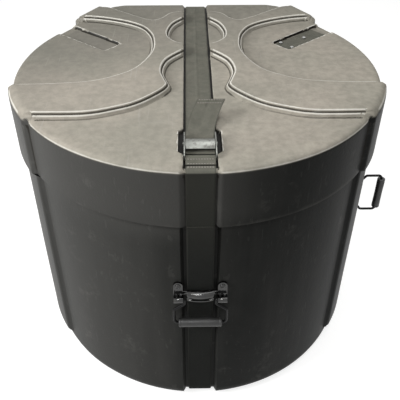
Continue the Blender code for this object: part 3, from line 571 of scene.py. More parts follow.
def fan(radius, height, reach, start, end, count):
    """Corners of a cage's rounded edge, from one angle to another."""
    turns = [math.radians(a) for a in steps(start, end, count)]
    return [(radius + reach * math.cos(t), height + reach * math.sin(t)) for t in turns]


# %% [markdown]
# Arms, ribs, channels and pockets have straight walls in some places. The cage is scored
# there first, so that each wall stands on a clean line. Where an arm's edge curves, the
# cage is left alone and the cast skin is smoothed, as plastic in a mould rounds it.

# %% Lines that the walls stand on
ARM_SLOPE = 0.008
CHANNEL_HALF = 0.027
TUB_CHANNEL_HALF = 0.031
# The buckle's recess: half its width, its front and its back
RECESS = (0.0355, -0.310, -0.230)
POCKET_HALF = 0.025
POCKET_START = Vector((0.497, 0.285)) * LID_RADIUS
POCKET_WAY = Vector((math.cos(math.radians(41)), math.sin(math.radians(41))))
# Where each rib's side starts and which way it runs, in shares of the lid's radius, and
# on which side of that line the slope lies
RIB_LINES = (
    ((0.84, -0.541), (1, 0), -1), ((0.958, -0.253), (1, 0), 1),
    ((0.747, 0.708), (0.313, 0.052), -1), ((0.572, 0.848), (0.358, 0.117), 1))
RIB_BAND = 0.012


def rib_lines(inset):
    """Point, direction and hand of each rib's sides, on the right and on the left."""
    for (x, y), (dx, dy), side in RIB_LINES:
        way = Vector((dx, dy)).normalized()
        out = Vector((-way.y, way.x)) * side * (ARM_SLOPE - inset)
        for hand in (-1, 1):
            yield ((hand * (x * LID_RADIUS + out.x), y * LID_RADIUS + out.y),
                   (hand * way.x, way.y), hand)


def near_line(point, way, hand, reach):
    """A test for faces of the rim and the skirt that lie near a rib's side."""
    across = Vector((-way[1], way[0])).normalized()

    def wanted(c):
        off = (Vector((c.x, c.y)) - Vector(point)).dot(across)
        return c.x * hand > 0 and abs(off) < RIB_BAND and Vector((c.x, c.y)).length > reach
    return wanted


# %% Score the cages
NEAR = 0.01
SCORED_RIM = 0.349
SCORED_SIDE = 0.300
TUB_INSET = 0.0055


def score_channel(bm, half):
    for hand in (-1, 1):
        score(bm, (hand * half, 0), (0, 1), lambda c: abs(abs(c.x) - half) < NEAR)


def score_ribs(bm, inset, reach):
    for point, way, hand in rib_lines(inset):
        score(bm, point, way, near_line(point, way, hand, reach))


def score_lid(bm):
    score_channel(bm, CHANNEL_HALF)
    half, front, back = RECESS
    lean = half - CHANNEL_HALF

    def by_recess(c):
        return abs(c.x) < half + NEAR and front - NEAR < c.y < back + NEAR and c.z > LID_TOP
    for hand in (-1, 1):
        score(bm, (hand * half, 0), (0, 1), by_recess, HAIR / 2)
        score(bm, (hand * half, front + lean), (hand, 1), by_recess, HAIR / 2)
        score(bm, (hand * half, back - lean), (-hand, 1), by_recess, HAIR / 2)
    for hand in (-1, 1):
        way = Vector((hand * POCKET_WAY.x, POCKET_WAY.y))
        across = Vector((-way.y, way.x))
        start = Vector((hand * POCKET_START.x, POCKET_START.y))

        def by_pocket(c):
            off = Vector((c.x, c.y)) - start
            return off.dot(way) > -NEAR and abs(off.dot(across)) < POCKET_HALF + NEAR
        for side in (-1, 1):
            score(bm, start + across * side * POCKET_HALF, way, by_pocket, HAIR / 2)
        score(bm, start, across, by_pocket, HAIR / 2)
    score_ribs(bm, 0, SCORED_RIM)


def score_tub(bm):
    score_channel(bm, TUB_CHANNEL_HALF)
    score_ribs(bm, TUB_INSET, SCORED_SIDE)


# %% [markdown]
# The raised arms carry the lid's character. Along each edge the mould left a double bead:
# a rolled top edge, a groove halfway down the slope and a second roll at the foot. The
# cage is far too coarse for it, so the faces beside the arms' outline are divided, and
# each of their corners then takes its height from its distance to that outline.

# %% The arms' outline
# One half of the outline, in shares of the lid's radius; the other half is its mirror
FRONT_EDGE = ((0.080, 0.178), (0.176, 0.049), (0.204, -0.090), (0.181, -0.203),
              (0.168, -0.262), (0.204, -0.330), (0.300, -0.432), (0.400, -0.490),
              (0.560, -0.540), (0.840, -0.541))
ARM_END = ((1.180, -0.541), (1.180, -0.253))
SIDE_EDGE = ((0.958, -0.253), (0.784, -0.250), (0.572, -0.225), (0.444, -0.165),
             (0.351, -0.085), (0.285, 0.040), (0.250, 0.172), (0.250, 0.300),
             (0.272, 0.415), (0.335, 0.532), (0.455, 0.622), (0.615, 0.685), (0.747, 0.708))
BACK_END = ((1.060, 0.760), (0.930, 0.965))
BACK_EDGE = ((0.572, 0.848), (0.464, 0.757), (0.350, 0.662), (0.272, 0.622),
             (0.215, 0.660), (0.165, 0.740), (0.084, 0.774))
NOTCH = ((0.085, 0.671), (0.150, 0.575), (0.181, 0.452), (0.172, 0.350), (0.125, 0.280),
         (0.077, 0.252))
ARM_RISE = 0.0125
AT_A_TIME = 4000


def curve_through(points, count=8):
    """A smooth curve through given points, with extra points between them."""
    ends = [points[0]] + list(points) + [points[-1]]
    curve = []
    for a, b, c, d in zip(ends, ends[1:], ends[2:], ends[3:]):
        for i in range(count):
            t = i / count
            curve.append(tuple(
                0.5 * (2 * q + (r - p) * t + (2 * p - 5 * q + 4 * r - s) * t ** 2
                       + (3 * q - p - 3 * r + s) * t ** 3)
                for p, q, r, s in zip(a, b, c, d)))
    return curve + [tuple(points[-1])]


def arm_outline():
    shares = [(0, FRONT_EDGE[0][1])] + curve_through(FRONT_EDGE) + list(ARM_END)
    shares += curve_through(SIDE_EDGE) + list(BACK_END) + curve_through(BACK_EDGE)
    shares += [(0, BACK_EDGE[-1][1]), (0, NOTCH[0][1])] + curve_through(NOTCH)
    return numpy.array(shares + [(0, NOTCH[-1][1])]) * LID_RADIUS


OUTLINE = arm_outline()


def arm_distance(places):
    """Distance to the nearest arm's edge for each place, less than zero on an arm."""
    start, end = OUTLINE, numpy.roll(OUTLINE, -1, axis=0)
    way = end - start
    result = []
    for chunk in numpy.array_split(places, max(len(places) // AT_A_TIME, 1)):
        spot = numpy.stack([numpy.abs(chunk[:, 0]), chunk[:, 1]], axis=1)[:, None, :]
        along = ((spot - start) * way).sum(2) / numpy.maximum((way ** 2).sum(1), 1e-12)
        near = start + way * numpy.clip(along, 0, 1)[:, :, None]
        far = numpy.sqrt(((spot - near) ** 2).sum(2)).min(1)
        level = spot[:, :, 1]
        crosses = (start[:, 1] > level) != (end[:, 1] > level)
        with numpy.errstate(divide="ignore", invalid="ignore"):
            at = start[:, 0] + (level - start[:, 1]) / way[:, 1] * way[:, 0]
        within = (crosses & (spot[:, :, 0] < at)).sum(1) % 2 == 1
        result.append(numpy.where(within, -far, far))
    return numpy.concatenate(result)


# %% Raise the arms
# The slope's section as (distance outwards from the arm's edge, height over the lid)
BEAD = ((-0.0015, 0.0125), (0.0000, 0.0124), (0.0009, 0.0118), (0.0016, 0.0104),
        (0.0021, 0.0086), (0.0026, 0.0072), (0.0032, 0.0067), (0.0038, 0.0072),
        (0.0045, 0.0077), (0.0053, 0.0072), (0.0063, 0.0054), (0.0074, 0.0029),
        (0.0084, 0.0010), (0.0097, 0.0))
BEAD_BAND = (-0.0022, 0.0108)
BEAD_CUTS = 3
# Wear and painted light across the bead as (strength, middle, width): a rubbed top roll
# with a painted highlight, painted shade in the groove and a painted highlight on the lower roll
BEAD_LIGHT_AND_WEAR = ((0.20, -0.0006, 0.0012), (-0.32, 0.0028, 0.0012), (0.12, 0.0054, 0.0014))
LONG_EDGE = 0.002
# Over the first range the solid's own height takes over, over the second the bead ends
FREE_REACH = (0.339, 0.347)
RIM_REACH = (0.350, 0.361)
RIM_DEPTH = 0.006


def share_of(value, ends):
    """How far a value has come from one end of a range to the other."""
    return min(max((value - ends[0]) / (ends[1] - ends[0]), 0), 1)


def peak(value, middle, width):
    """A soft bump of height 1 round a middle value."""
    return math.exp(-((value - middle) / width) ** 2)


def lies_on_top(v):
    reach = reach_of(v.co)
    depth = HAIR if reach < FREE_REACH[1] else RIM_DEPTH
    return reach < RIM_REACH[1] and v.co.z > LID_TOP - depth and abs(v.co.x) > CHANNEL_HALF


def raise_arms(bm):
    """Divide the faces beside the arms' edges and give them the bead's heights. Near the
    rim only the bead's difference from the solid's plain slope is added."""
    top = [v for v in bm.verts if lies_on_top(v)]
    far = dict(zip(top, arm_distance(numpy.array([v.co[:2] for v in top]))))
    low, high = BEAD_BAND
    band = [f for f in bm.faces if all(v in far for v in f.verts)
            and min(far[v] for v in f.verts) < high and max(far[v] for v in f.verts) > low]
    long_edges = {e for f in band for e in f.edges if e.calc_length() > LONG_EDGE}
    bmesh.ops.subdivide_edges(bm, edges=list(long_edges), cuts=BEAD_CUTS, use_grid_fill=True)
    # This value holds wear and painted light: high on rubbed edges with painted highlights, below
    # zero where painted shade goes.
    worn = bm.verts.layers.float.new("worn")
    top = [v for v in bm.verts if lies_on_top(v)]
    far = arm_distance(numpy.array([v.co[:2] for v in top]))
    rise = numpy.interp(far, *zip(*BEAD))
    plain = numpy.interp(far, (0, ARM_SLOPE), (ARM_RISE, 0))
    for v, off, height, slope in zip(top, far, rise, plain):
        reach = reach_of(v.co)
        near_rim = v.co.z + float(height - slope) * (1 - share_of(reach, RIM_REACH))
        free = LID_TOP + float(height)
        v.co.z = free + (near_rim - free) * share_of(reach, FREE_REACH)
        # The bead's top roll is rubbed and gets a painted highlight, its groove painted shade and
        # its lower roll a painted highlight.
        v[worn] = sum(strength * peak(off, *spot) for strength, *spot in BEAD_LIGHT_AND_WEAR)
    bmesh.ops.smooth_vert(bm, verts=top, factor=0.25, use_axis_x=False, use_axis_y=False,
                          use_axis_z=True)
    print("faces beside the arms' edges:", len(band), "corners on top:", len(top))


# %% [markdown]
# The solid's sides have 96 flats, and a real wall is round, so the cast corners are
# pushed out to the true circle. A thick wall also cools unevenly and ends up with slow
# waves, which show in the sheen of the sides. Noise with a fixed seed gives them.

# %% Rounder sides, and waves in them
SOLID_FACETS = 96
WAVE_DEPTH, WAVE_SIZE, WAVE_UPRIGHT, WAVY_REACH = 0.0006, 0.11, 0.6, 0.30


def round_off(bm):
    """Push the flats between the solid's facets out to the true round."""
    facet = 360 / SOLID_FACETS
    for v in bm.verts:
        if heel_share(v.co.x, v.co.y) == 1:
            turn = math.degrees(math.atan2(v.co.y, v.co.x)) % facet - facet / 2
            push = math.cos(math.radians(turn)) / math.cos(math.radians(facet / 2))
            v.co.x *= push
            v.co.y *= push


def waves(bm, seed):
    """The slow unevenness of a thick wall that cooled in its mould. Height counts for
    less than the way round, so the waves are taller than wide."""
    for v in bm.verts:
        flat = Vector((v.co.x, v.co.y, 0))
        if flat.length > WAVY_REACH:
            place = Vector((v.co.x, v.co.y, v.co.z * WAVE_UPRIGHT)) / WAVE_SIZE
            v.co += flat.normalized() * noise.noise(place + seed) * WAVE_DEPTH


# %% [markdown]
# Wear follows the form: edges that stand proud are rubbed pale and get a painted highlight,
# and floors of channels keep their black, because neither dust nor hands reach them, and
# get painted shade too. The finish can't see the form, so each corner of the mesh keeps two
# numbers for it: one for wear with painted light, and one for painted shade and shelter.

# %% Where hands and shelves rub, and where highlights and shade are painted
INSIDE_SHADE, CHANNEL_SHADE, POCKET_SHADE, RIM_SHADE = 0.62, 1.0, 0.2, 0.6
RIM_START = 0.346
ARM_CLEAR = (0.004, 0.014)
# A painted highlight along the rounded rim: its strength, and the upward lean and spread of the
# faces that take it.
RIM_HIGHLIGHT, RIM_LEAN, RIM_SPAN = 0.26, 0.50, 0.12
# The most wear and painted highlight that the rim's own form gives it beside an arm, and
# what comes on top of that away from the arms
RIM_MOST = (0.07, 0.15)
STEEP = (0.22, 0.40)
FLOOR_LEVELS = (LID_TOP - 0.0075, LID_TOP - 0.0045)
# How near its side the channel's wear is held down, and the most that it can be there
CHANNEL_SIDE, CHANNEL_MOST = 0.006, 0.09
# How far up from the skirt's edge, and the share of the wear that is kept there
SKIRT_EDGE, SKIRT_KEPT = 0.004, 0.3
MARGIN = 0.002


def rim_wear_and_highlight(v, worn, shade_and_shelter):
    """A painted highlight along the lid's rim, on faces that lean half up, which stops beside the
    arms.
    """
    off = arm_distance(numpy.array([v.co[:2]]))[0]
    clear = share_of(abs(off), ARM_CLEAR)
    least, more = RIM_MOST
    v[worn] = max(min(v[worn], least + more * clear),
                  RIM_HIGHLIGHT * clear * peak(v.normal.z, RIM_LEAN, RIM_SPAN))
    v[shade_and_shelter] = RIM_SHADE * (1 - share_of(v.normal.z, STEEP))


def record_wear(bm, outer_count):
    """Add to the worn value how far each outer corner stands proud of the ones round it, with a
    painted highlight along the rim, and keep on each corner how much painted shade it gets
    and how far dust is kept off it: inside, on the rim's steep side and on channel and
    pocket floors."""
    worn = bm.verts.layers.float.get("worn") or bm.verts.layers.float.new("worn")
    shade_and_shelter = bm.verts.layers.float.new("shade_and_shelter")
    bm.verts.ensure_lookup_table()
    bm.normal_update()
    # Inside corners: dust kept off them, and a trace of painted shade.
    for v in bm.verts[outer_count:]:
        v[shade_and_shelter] = INSIDE_SHADE
    for v in bm.verts[:outer_count]:
        ring = [e.other_vert(v).co for e in v.link_edges]
        middle = sum(ring, Vector()) / len(ring)
        span = sum((place - v.co).length for place in ring) / len(ring)
        v[worn] += (v.co - middle).dot(v.normal) / span
        reach = reach_of(v.co)
        if reach > RIM_START and v.co.z > LID_TOP - LID_ROUND - MARGIN:
            rim_wear_and_highlight(v, worn, shade_and_shelter)
        if abs(abs(v.co.x) - CHANNEL_HALF) < CHANNEL_SIDE:
            v[worn] = min(v[worn], CHANNEL_MOST)
        if v.co.z < SKIRT_BOTTOM + SKIRT_EDGE:
            v[worn] *= SKIRT_KEPT
        # Channel and pocket floors get painted shade, and dust is kept off them.
        if reach < LID_TURN[0] and FLOOR_LEVELS[0] < v.co.z < FLOOR_LEVELS[1]:
            v[shade_and_shelter] = CHANNEL_SHADE if abs(v.co.x) < RECESS[0] + MARGIN else POCKET_SHADE


# %% [markdown]
# A shell is one closed skin. The outside and the inside are cast one after the other into
# one mesh, a bridge of faces closes the open edge between them, and the small holes at the
# two poles are filled. A Solidify modifier would be shorter, but it can't follow a wall
# that is thicker in some places.

# %% Turn a mesh into a piece
def make_piece(name, bm, finish, sharp=35):
    """Turn a bmesh into a shaded object with its finish."""
    mesh = bpy.data.meshes.new(name)
    bm.to_mesh(mesh)
    bm.free()
    piece = bpy.data.objects.new(name, mesh)
    bpy.context.scene.collection.objects.link(piece)
    mesh.shade_smooth()
    mesh.set_sharp_from_angle(angle=math.radians(sharp))
    mesh.materials.append(finish)
    return piece


def stand_for(piece, node_name, body):
    """Let a piece ride on a body and stand for a solid, which is hidden."""
    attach(piece, body)
    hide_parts(node_name)


# %% Join an outside and an inside
POLE_REACH = 0.1


def middle_of(edges):
    return sum(e.verts[0].co.z for e in edges) / len(edges)


def close_poles(bm):
    """Fill the small holes in the middle of the outside and of the inside."""
    poles = [e for e in bm.edges if e.is_boundary
             and Vector((e.verts[0].co.x, e.verts[0].co.y)).length < POLE_REACH]
    level = middle_of(poles)
    rings = [[e for e in poles if (e.verts[0].co.z > level) == above]
             for above in (True, False)]
    for ring in rings:
        made = bmesh.ops.contextual_create(bm, geom=ring)
        bmesh.ops.poke(bm, faces=made["faces"])


def shell_piece(name, node_name, profiles, place, scoring, detail=None):
    """Cast a shell's outside and inside, join them at the open edge and centre them."""
    tree = BVHTree.FromObject(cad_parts[node_name], bpy.context.evaluated_depsgraph_get())
    whole, within = spun_cage(profiles[0]), spun_cage(profiles[1])
    scoring(whole)
    missed = cast(whole, tree, *place, True)
    if detail:
        detail(whole)
    outer_count = len(whole.verts)
    missed += cast(within, tree, *place, False)
    inner = bpy.data.meshes.new("inner")
    within.to_mesh(inner)
    within.free()
    whole.from_mesh(inner)
    bpy.data.meshes.remove(inner)
    close_poles(whole)
    bmesh.ops.bridge_loops(whole, edges=[e for e in whole.edges if e.is_boundary])
    round_off(whole)
    waves(whole, Vector((0.3, 0.1, place[1])))
    bmesh.ops.recalc_face_normals(whole, faces=whole.faces)
    record_wear(whole, outer_count)
    bmesh.ops.translate(whole, verts=whole.verts, vec=AXIS)
    piece = make_piece(name, whole, SHELL, 60)
    print(name, "corners that met nothing:", missed, "triangles:",
          sum(len(f.vertices) - 2 for f in piece.data.polygons))
    return piece


# %% Cast the lid
CAGE_REACH, CAGE_TOP, POLE = 0.400, 0.640, 0.004


def lid_profile(top, edge, skirt):
    """Cage corners across the top, round the edge and down the skirt."""
    radius, height = LID_TURN
    line = [(r, CAGE_TOP) for r in steps(POLE, radius, top)]
    line += fan(radius, height, CAGE_REACH - radius, 90, 0, edge)[1:]
    return line + [(CAGE_REACH, z) for z in steps(height, SKIRT_BOTTOM + HAIR, skirt)][1:]


lid = shell_piece("lid_skin", "lid_shell", (lid_profile(67, 14, 7), lid_profile(18, 4, 2)),
                  (*LID_TURN, False), score_lid, raise_arms)
stand_for(lid, "lid_shell", "lid")

# %% Cast the tub
TUB_TURN = (0.318, 0.045)
CAGE_BASE = -0.037


def tub_profile(side, edge, base):
    """Cage corners down the side, round the edge and across the base."""
    radius, height = TUB_TURN
    line = [(CAGE_REACH, z) for z in steps(RIM_TOP - HAIR, height, side)]
    line += fan(radius, height, CAGE_REACH - radius, 0, -90, edge)[1:]
    return line + [(r, CAGE_BASE) for r in steps(radius, POLE, base)][1:]


tub = shell_piece("tub_skin", "body_shell", (tub_profile(28, 16, 12), tub_profile(10, 8, 12)),
                  (*TUB_TURN, True), score_tub)
stand_for(tub, "body_shell", "case")


# %% [markdown]
# The strap is flat polypropylene webbing, 47 mm wide. It is laid along the same route as
# in the solid model, station by station, and a grid of faces is drawn out to its
# thickness. Each corner keeps its place across and along the strap, so that the weave
# follows the webbing round every bend. A weave drawn from two of the object's own
# coordinates would smear where the strap turns up the side.

# %% Webbing
STRAP_WIDTH = 0.047
STRAP_THICKNESS = 0.0022
STRAP_COLUMNS = 26
SEAT = 0.0003
RIDGES, PICKS = 201.0, 190.0


def weave_group():
    """Height and colour masks of a plain woven strap, from its UV map."""
    tree, given, out = new_group("strap_weave", (("Across and along", "NodeSocketVector", None),),
                                 ("Height", "Thread", "Selvedge"))
    spot = axes_of(tree, given["Across and along"])
    ridge = math_node(tree, "SINE", times(tree, spot["X"], RIDGES))
    pair = times(tree, math_node(tree, "SINE", times(tree, spot["X"], RIDGES / 2)), 1.6)
    pick = math_node(tree, "SINE", plus(tree, times(tree, spot["Y"], PICKS), pair))
    height = plus(tree, times(tree, ridge, 0.6), times(tree, pick, 0.55))
    link(tree, height, out["Height"])
    link(tree, remap(tree, height, -1.0, 1.0), out["Thread"])
    off_middle = math_node(tree, "ABSOLUTE", minus(tree, spot["X"], 0.5))
    link(tree, remap(tree, off_middle, 0.455, 0.485), out["Selvedge"])
    return tree


WEAVE = weave_group()

# %% Webbing cloth
THREADS = ((0.005, 0.0055, 0.005), (0.019, 0.020, 0.018))
FIBRES = (0.030, 0.031, 0.028)
CLOTH_DUST = ((0.140, 0.144, 0.118), (0.230, 0.218, 0.180))
SELVEDGE = (0.055, 0.054, 0.047)


def webbing(name, dusty, steepness=0.62):
    """Black webbing, with as much dust as asked; its paleness on top is partly painted sheen."""
    made, tree, surface = finish_for(name, Specular_IOR_Level=0.1)
    place = object_place(tree)
    weave = use_group(tree, WEAVE, "Across and along", node(tree, "ShaderNodeUVMap").outputs["UV"])
    marks = use_group(tree, DUST_AND_SHEEN_MARKS, "Place", place, Steepness=steepness)
    thread = weave["Thread"]
    cloth = mix(tree, thread, *THREADS)
    cloth = stain(tree, cloth, noise_at(tree, place, 240, 3), 0.35, FIBRES)
    patchy = noise_at(tree, place, 22, 4)
    dust = mix(tree, patchy, *CLOTH_DUST)
    # The webbing is made paler higher up the case.
    paler_higher_up = times(tree, remap(tree, axes_of(tree, place)["Z"], 0.36, 0.58), 0.16)
    # The dust's paleness on the webbing's upward faces is partly painted sheen.
    dust_and_sheen = math_node(tree, "MAXIMUM", marks["Dust"], paler_higher_up)
    amount = times(tree, dust_and_sheen, plus(tree, dusty - 0.25, times(tree, thread, 0.3)))
    colour = mix(tree, amount, cloth, dust)
    colour = stain(tree, colour, weave["Selvedge"], 0.35, SELVEDGE)
    paint(tree, surface, colour, plus(tree, 0.72, times(tree, patchy, 0.2)))
    bump(tree, weave["Height"], 0.6, 0.0005, surface)
    return made


STRAP_CLOTH = webbing("strap_webbing", 0.95)
PATCH_CLOTH = webbing("patch_webbing", 0.85)
print("webbing finishes:", STRAP_CLOTH.name, PATCH_CLOTH.name)


# %% [markdown]
# A strap keeps its width and bends only about lines across it. So a band is laid by
# stations: at each one it knows where it runs and which way it faces. A grid of faces
# takes its rows from them and is extruded to the webbing's thickness, with thinner edges.

# %% Lay a band of webbing
EDGE_LOSS, EDGE_WIDTH = 0.4, 0.022


def stations(route, spacing):
    """Even stations along a route of (x, y, z, plies), with the distance run so far."""
    spots = [Vector(stop) for stop in route]
    run = [0.0]
    for a, b in zip(spots, spots[1:]):
        run.append(run[-1] + (b.xyz - a.xyz).length)
    count = round(run[-1] / spacing)
    even = []
    for i in range(count + 1):
        goal = run[-1] * i / count
        k = max(j for j in range(len(run) - 1) if run[j] <= goal + 1e-9)
        share = (goal - run[k]) / max(run[k + 1] - run[k], 1e-9)
        even.append((spots[k].lerp(spots[k + 1], share), goal))
    return even


def facings(spots):
    """The way that the strap faces at each station, seen square to its width."""
    faces = []
    for i in range(len(spots)):
        ahead = spots[min(i + 1, len(spots) - 1)] - spots[max(i - 1, 0)]
        faces.append(Vector((0, -ahead.z, ahead.y)).normalized())
    return faces


def lay_webbing(name, route, finish, spacing=0.003, width=STRAP_WIDTH, shape=None, place=None):
    """A closed band along a route. It thickens to the left of its way as seen from +X.
    A shape function may lift a spot by its share across and its place."""
    even = stations(route, spacing)
    spots = [stop.xyz for stop, run in even]
    faces = facings(spots)
    rows = len(even) - 1
    bm = bmesh.new()
    bmesh.ops.create_grid(bm, x_segments=STRAP_COLUMNS, y_segments=rows, size=0.5)
    across = bm.verts.layers.float.new("across")
    row_of = bm.verts.layers.int.new("row")
    for v in bm.verts:
        row = round((v.co.y + 0.5) * rows)
        v[across], v[row_of] = v.co.x + 0.5, row
        lift = shape(v[across], spots[row]) if shape else 0.0
        v.co = spots[row] + Vector((v.co.x * width, 0, 0)) + faces[row] * lift
    made = bmesh.ops.extrude_face_region(bm, geom=bm.faces[:])
    for v in (item for item in made["geom"] if isinstance(item, bmesh.types.BMVert)):
        rounding = 1 - EDGE_LOSS * peak(min(v[across], 1 - v[across]), 0, EDGE_WIDTH)
        row = v[row_of]
        v.co += faces[row] * STRAP_THICKNESS * even[row][0].w * rounding
    uv = bm.loops.layers.uv.new("UVMap")
    for face in bm.faces:
        for loop in face.loops:
            loop[uv].uv = (loop.vert[across], even[loop.vert[row_of]][1] / width)
    bmesh.ops.recalc_face_normals(bm, faces=bm.faces)
    if place:
        bm.transform(place)
    bmesh.ops.translate(bm, verts=bm.verts, vec=AXIS)
    return make_piece(name, bm, finish, 50)


# %% [markdown]
# The routes repeat the solid straps' stations. A cloth simulation could find a route too,
# but tight webbing has only one way to lie in its channel, and strap and solid must agree.
# The long strap runs from the skirt's front edge under the base to the skirt's back edge.
# The lid carries two more lengths: one that is sewn round the buckle's bar, and one that
# comes over the lid, turns round the buckle's base and ends in the loose tail with its
# folded hem.

# %% The straps' routes
TUB_RADIUS = 0.348
BASE_ROUND = 0.028
TUB_CHANNEL = 0.009
LID_CHANNEL = 0.006
STRAP_DIP = 0.0045
HANDLE_HEIGHT = 0.318
# The bar's middle as (y, z)
BAR = (-0.3185, 0.5958)
BAR_RADIUS = 0.0020
BUCKLE_FRONT, BUCKLE_BACK = 0.305, 0.257
PLATE_MIDDLE = 0.5947
UPPER_WEB = 0.5981
# How far the loose tail runs back, rises and drifts to the right, and its curve as
# shares of the three
TAIL = (0.072, 0.029, 0.021)
TAIL_SHARES = ((0, 0, 0), (0.10, 0.02, 0.03), (0.27, 0.13, 0.11), (0.45, 0.32, 0.26),
               (0.62, 0.54, 0.45), (0.77, 0.74, 0.66), (0.89, 0.89, 0.84), (1.00, 1.00, 1.00))
TAIL_HEM = 0.86
ARC_STEPS = 12


def arc(centre, radius, start, end, count=ARC_STEPS):
    turns = [math.radians(a) for a in steps(start, end, count)]
    return [(centre[0] + radius * math.cos(t), centre[1] + radius * math.sin(t)) for t in turns]


def flat_route(points):
    return [(0, y, z, 1) for y, z in points]


def body_route():
    top = (LID_RADIUS - LID_CHANNEL + SEAT, SKIRT_BOTTOM - SEAT)
    bridge = (TUB_RADIUS - TUB_CHANNEL + STRAP_DIP, HANDLE_HEIGHT)
    corner = arc((TUB_RADIUS - BASE_ROUND, BASE_ROUND), BASE_ROUND - TUB_CHANNEL + SEAT, 0, -90)
    back = [top, bridge] + corner
    front = [(-y, z) for y, z in reversed(back)]
    return flat_route(back + front)


def rim_bend():
    side = LID_RADIUS - LID_CHANNEL + SEAT
    bend = LID_ROUND - LID_CHANNEL + SEAT
    over = arc((LID_RADIUS - LID_ROUND, LID_TOP - LID_ROUND), bend, 0, 90)
    return [(side, SKIRT_BOTTOM + SEAT)] + over


def front_route():
    turn = BAR_RADIUS + SEAT + STRAP_THICKNESS
    low = CHANNEL_FLOOR + SEAT
    sewn = low + 2 * STRAP_THICKNESS + SEAT
    half_ply = STRAP_THICKNESS / 2
    bar_y, bar_z = BAR
    points = [(-y, z) for y, z in rim_bend()] + [(bar_y - turn, low)]
    points += arc(BAR, turn, -90, 90) + [(bar_y - turn, bar_z + turn - half_ply)]
    points += [(bar_y - 2 * turn, sewn + half_ply), (bar_y - 3 * turn, sewn),
               (bar_y - 4 * turn, sewn)]
    return flat_route(points)


def rear_route():
    turn = PLATE_MIDDLE - CHANNEL_FLOOR - SEAT
    hold = arc((-BUCKLE_FRONT, PLATE_MIDDLE), turn, -90, -270)
    route = flat_route(rim_bend() + hold)
    length, rise, drift = TAIL
    for along, up, side in curve_through(TAIL_SHARES, 5):
        plies = 2 if along > TAIL_HEM else 1
        route.append((side * drift, -BUCKLE_BACK + along * length, UPPER_WEB + up * rise, plies))
    return list(reversed(route))


# %% Lay the straps
# The crease's middle and width in shares of the strap's width, and its height
CREASE = (0.46, 0.05, 0.0010)
STRAP_WAVE, WAVES_ACROSS, WAVES_ALONG, WAVES_UP = 0.0004, 0.9, 9, 5
LEAST_LIFT = -0.0002
# The crease's ends along the lid, and the place from which on the strap lies free
CREASE_ENDS, FREE_FROM = (-0.24, 0.33), -0.20
HELD_SHARE = 0.4


def crease(share, place):
    """The soft ridge along the middle of the strap on the lid, and slow waves."""
    middle, width, height = CREASE
    spot = Vector((share * WAVES_ACROSS, place.y * WAVES_ALONG, place.z * WAVES_UP))
    wave = noise.noise(spot) * STRAP_WAVE
    on_lid = place.z > CHANNEL_FLOOR and CREASE_ENDS[0] < place.y < CREASE_ENDS[1]
    ridge = height * peak(share, middle, width) if on_lid else 0.0
    free = 1.0 if on_lid and place.y > FREE_FROM else HELD_SHARE
    return max(ridge * free + wave * free, LEAST_LIFT)


def dress_strap(piece, node_name, body):
    stand_for(piece, node_name, body)
    print(piece.name, "faces:", len(piece.data.polygons))


dress_strap(lay_webbing("long_strap", body_route(), STRAP_CLOTH, 0.005), "body_strap", "case")
dress_strap(lay_webbing("sewn_strap", front_route(), STRAP_CLOTH, 0.0012), "front_strap", "lid")
dress_strap(lay_webbing("pulled_strap", rear_route(), STRAP_CLOTH, 0.0016, shape=crease),
            "rear_strap", "lid")

# %% [markdown]
# The right pocket holds a short length of narrower webbing, held down by three rivets. It
# is laid like the straps, on a straight route, and then turned to the pocket's slant.

# %% The patch in the right pocket
# Its start and its end along the pocket, and its width
PATCH = (0.008, 0.130, 0.044)


def pocket_place(side):
    """Where a pocket starts and how it lies, as a matrix."""
    turn = math.atan2(POCKET_WAY.y, POCKET_WAY.x * side)
    return (Matrix.Translation((side * POCKET_START.x, POCKET_START.y, 0))
            @ Matrix.Rotation(turn, 4, "Z"))


patch_route = [(0, PATCH[1], CHANNEL_FLOOR + SEAT, 1), (0, PATCH[0], CHANNEL_FLOOR + SEAT, 1)]
patch = lay_webbing("pocket_webbing", patch_route, PATCH_CLOTH, 0.002, PATCH[2],
                    place=pocket_place(1) @ Matrix.Rotation(math.radians(-90), 4, "Z"))
dress_strap(patch, "pocket_patch", "lid")


# %% [markdown]
# The sewn end of the strap is held by crosswise rows of heavy thread, and so is the hem
# of the tail. Every stitch is a small rounded bar that dips into the webbing at its ends.
# A bump would do for the picture, but bars stay in the mesh when it is used elsewhere.

# %% Stitches
# A stitch's length and radius
STITCH = (0.0036, 0.0007)
SEWN_WIDTH = 0.90
ROW_SPACING = 0.0012
FLAP_ROWS, BAR_ROWS, TAIL_ROWS = (0.0020, 0.0118), (0.1145, 0.1170), (0.0020, 0.0100)


def sew(name, rows, thread, count=10):
    """One piece of all the stitches in some rows: (place, side way, facing)."""
    bm = bmesh.new()
    length, radius = STITCH
    for middle, way, facing in rows:
        side = facing.cross(way).normalized()
        turn = Matrix((way, side, facing)).transposed().to_4x4()
        for i in range(count):
            off = ((i + 0.5) / count - 0.5) * STRAP_WIDTH * SEWN_WIDTH
            spot = middle + way * off
            size = Matrix.Diagonal((length / 2 / radius, 1, 1, 1)).to_4x4()
            bmesh.ops.create_icosphere(bm, subdivisions=1, radius=radius,
                                       matrix=Matrix.Translation(spot) @ turn @ size)
    bmesh.ops.translate(bm, verts=bm.verts, vec=AXIS)
    piece = make_piece(name, bm, thread, 80)
    print(name, "stitches:", len(rows) * count)
    return piece


def sewing_thread():
    made, tree, surface = finish_for("sewing_thread", Specular_IOR_Level=0.2, Roughness=0.8)
    twist = noise_at(tree, object_place(tree), 900, 2)
    paint(tree, surface, mix(tree, twist, (0.20, 0.185, 0.165), (0.42, 0.39, 0.35)))
    bump(tree, twist, 0.4, 0.0002, surface)
    return made


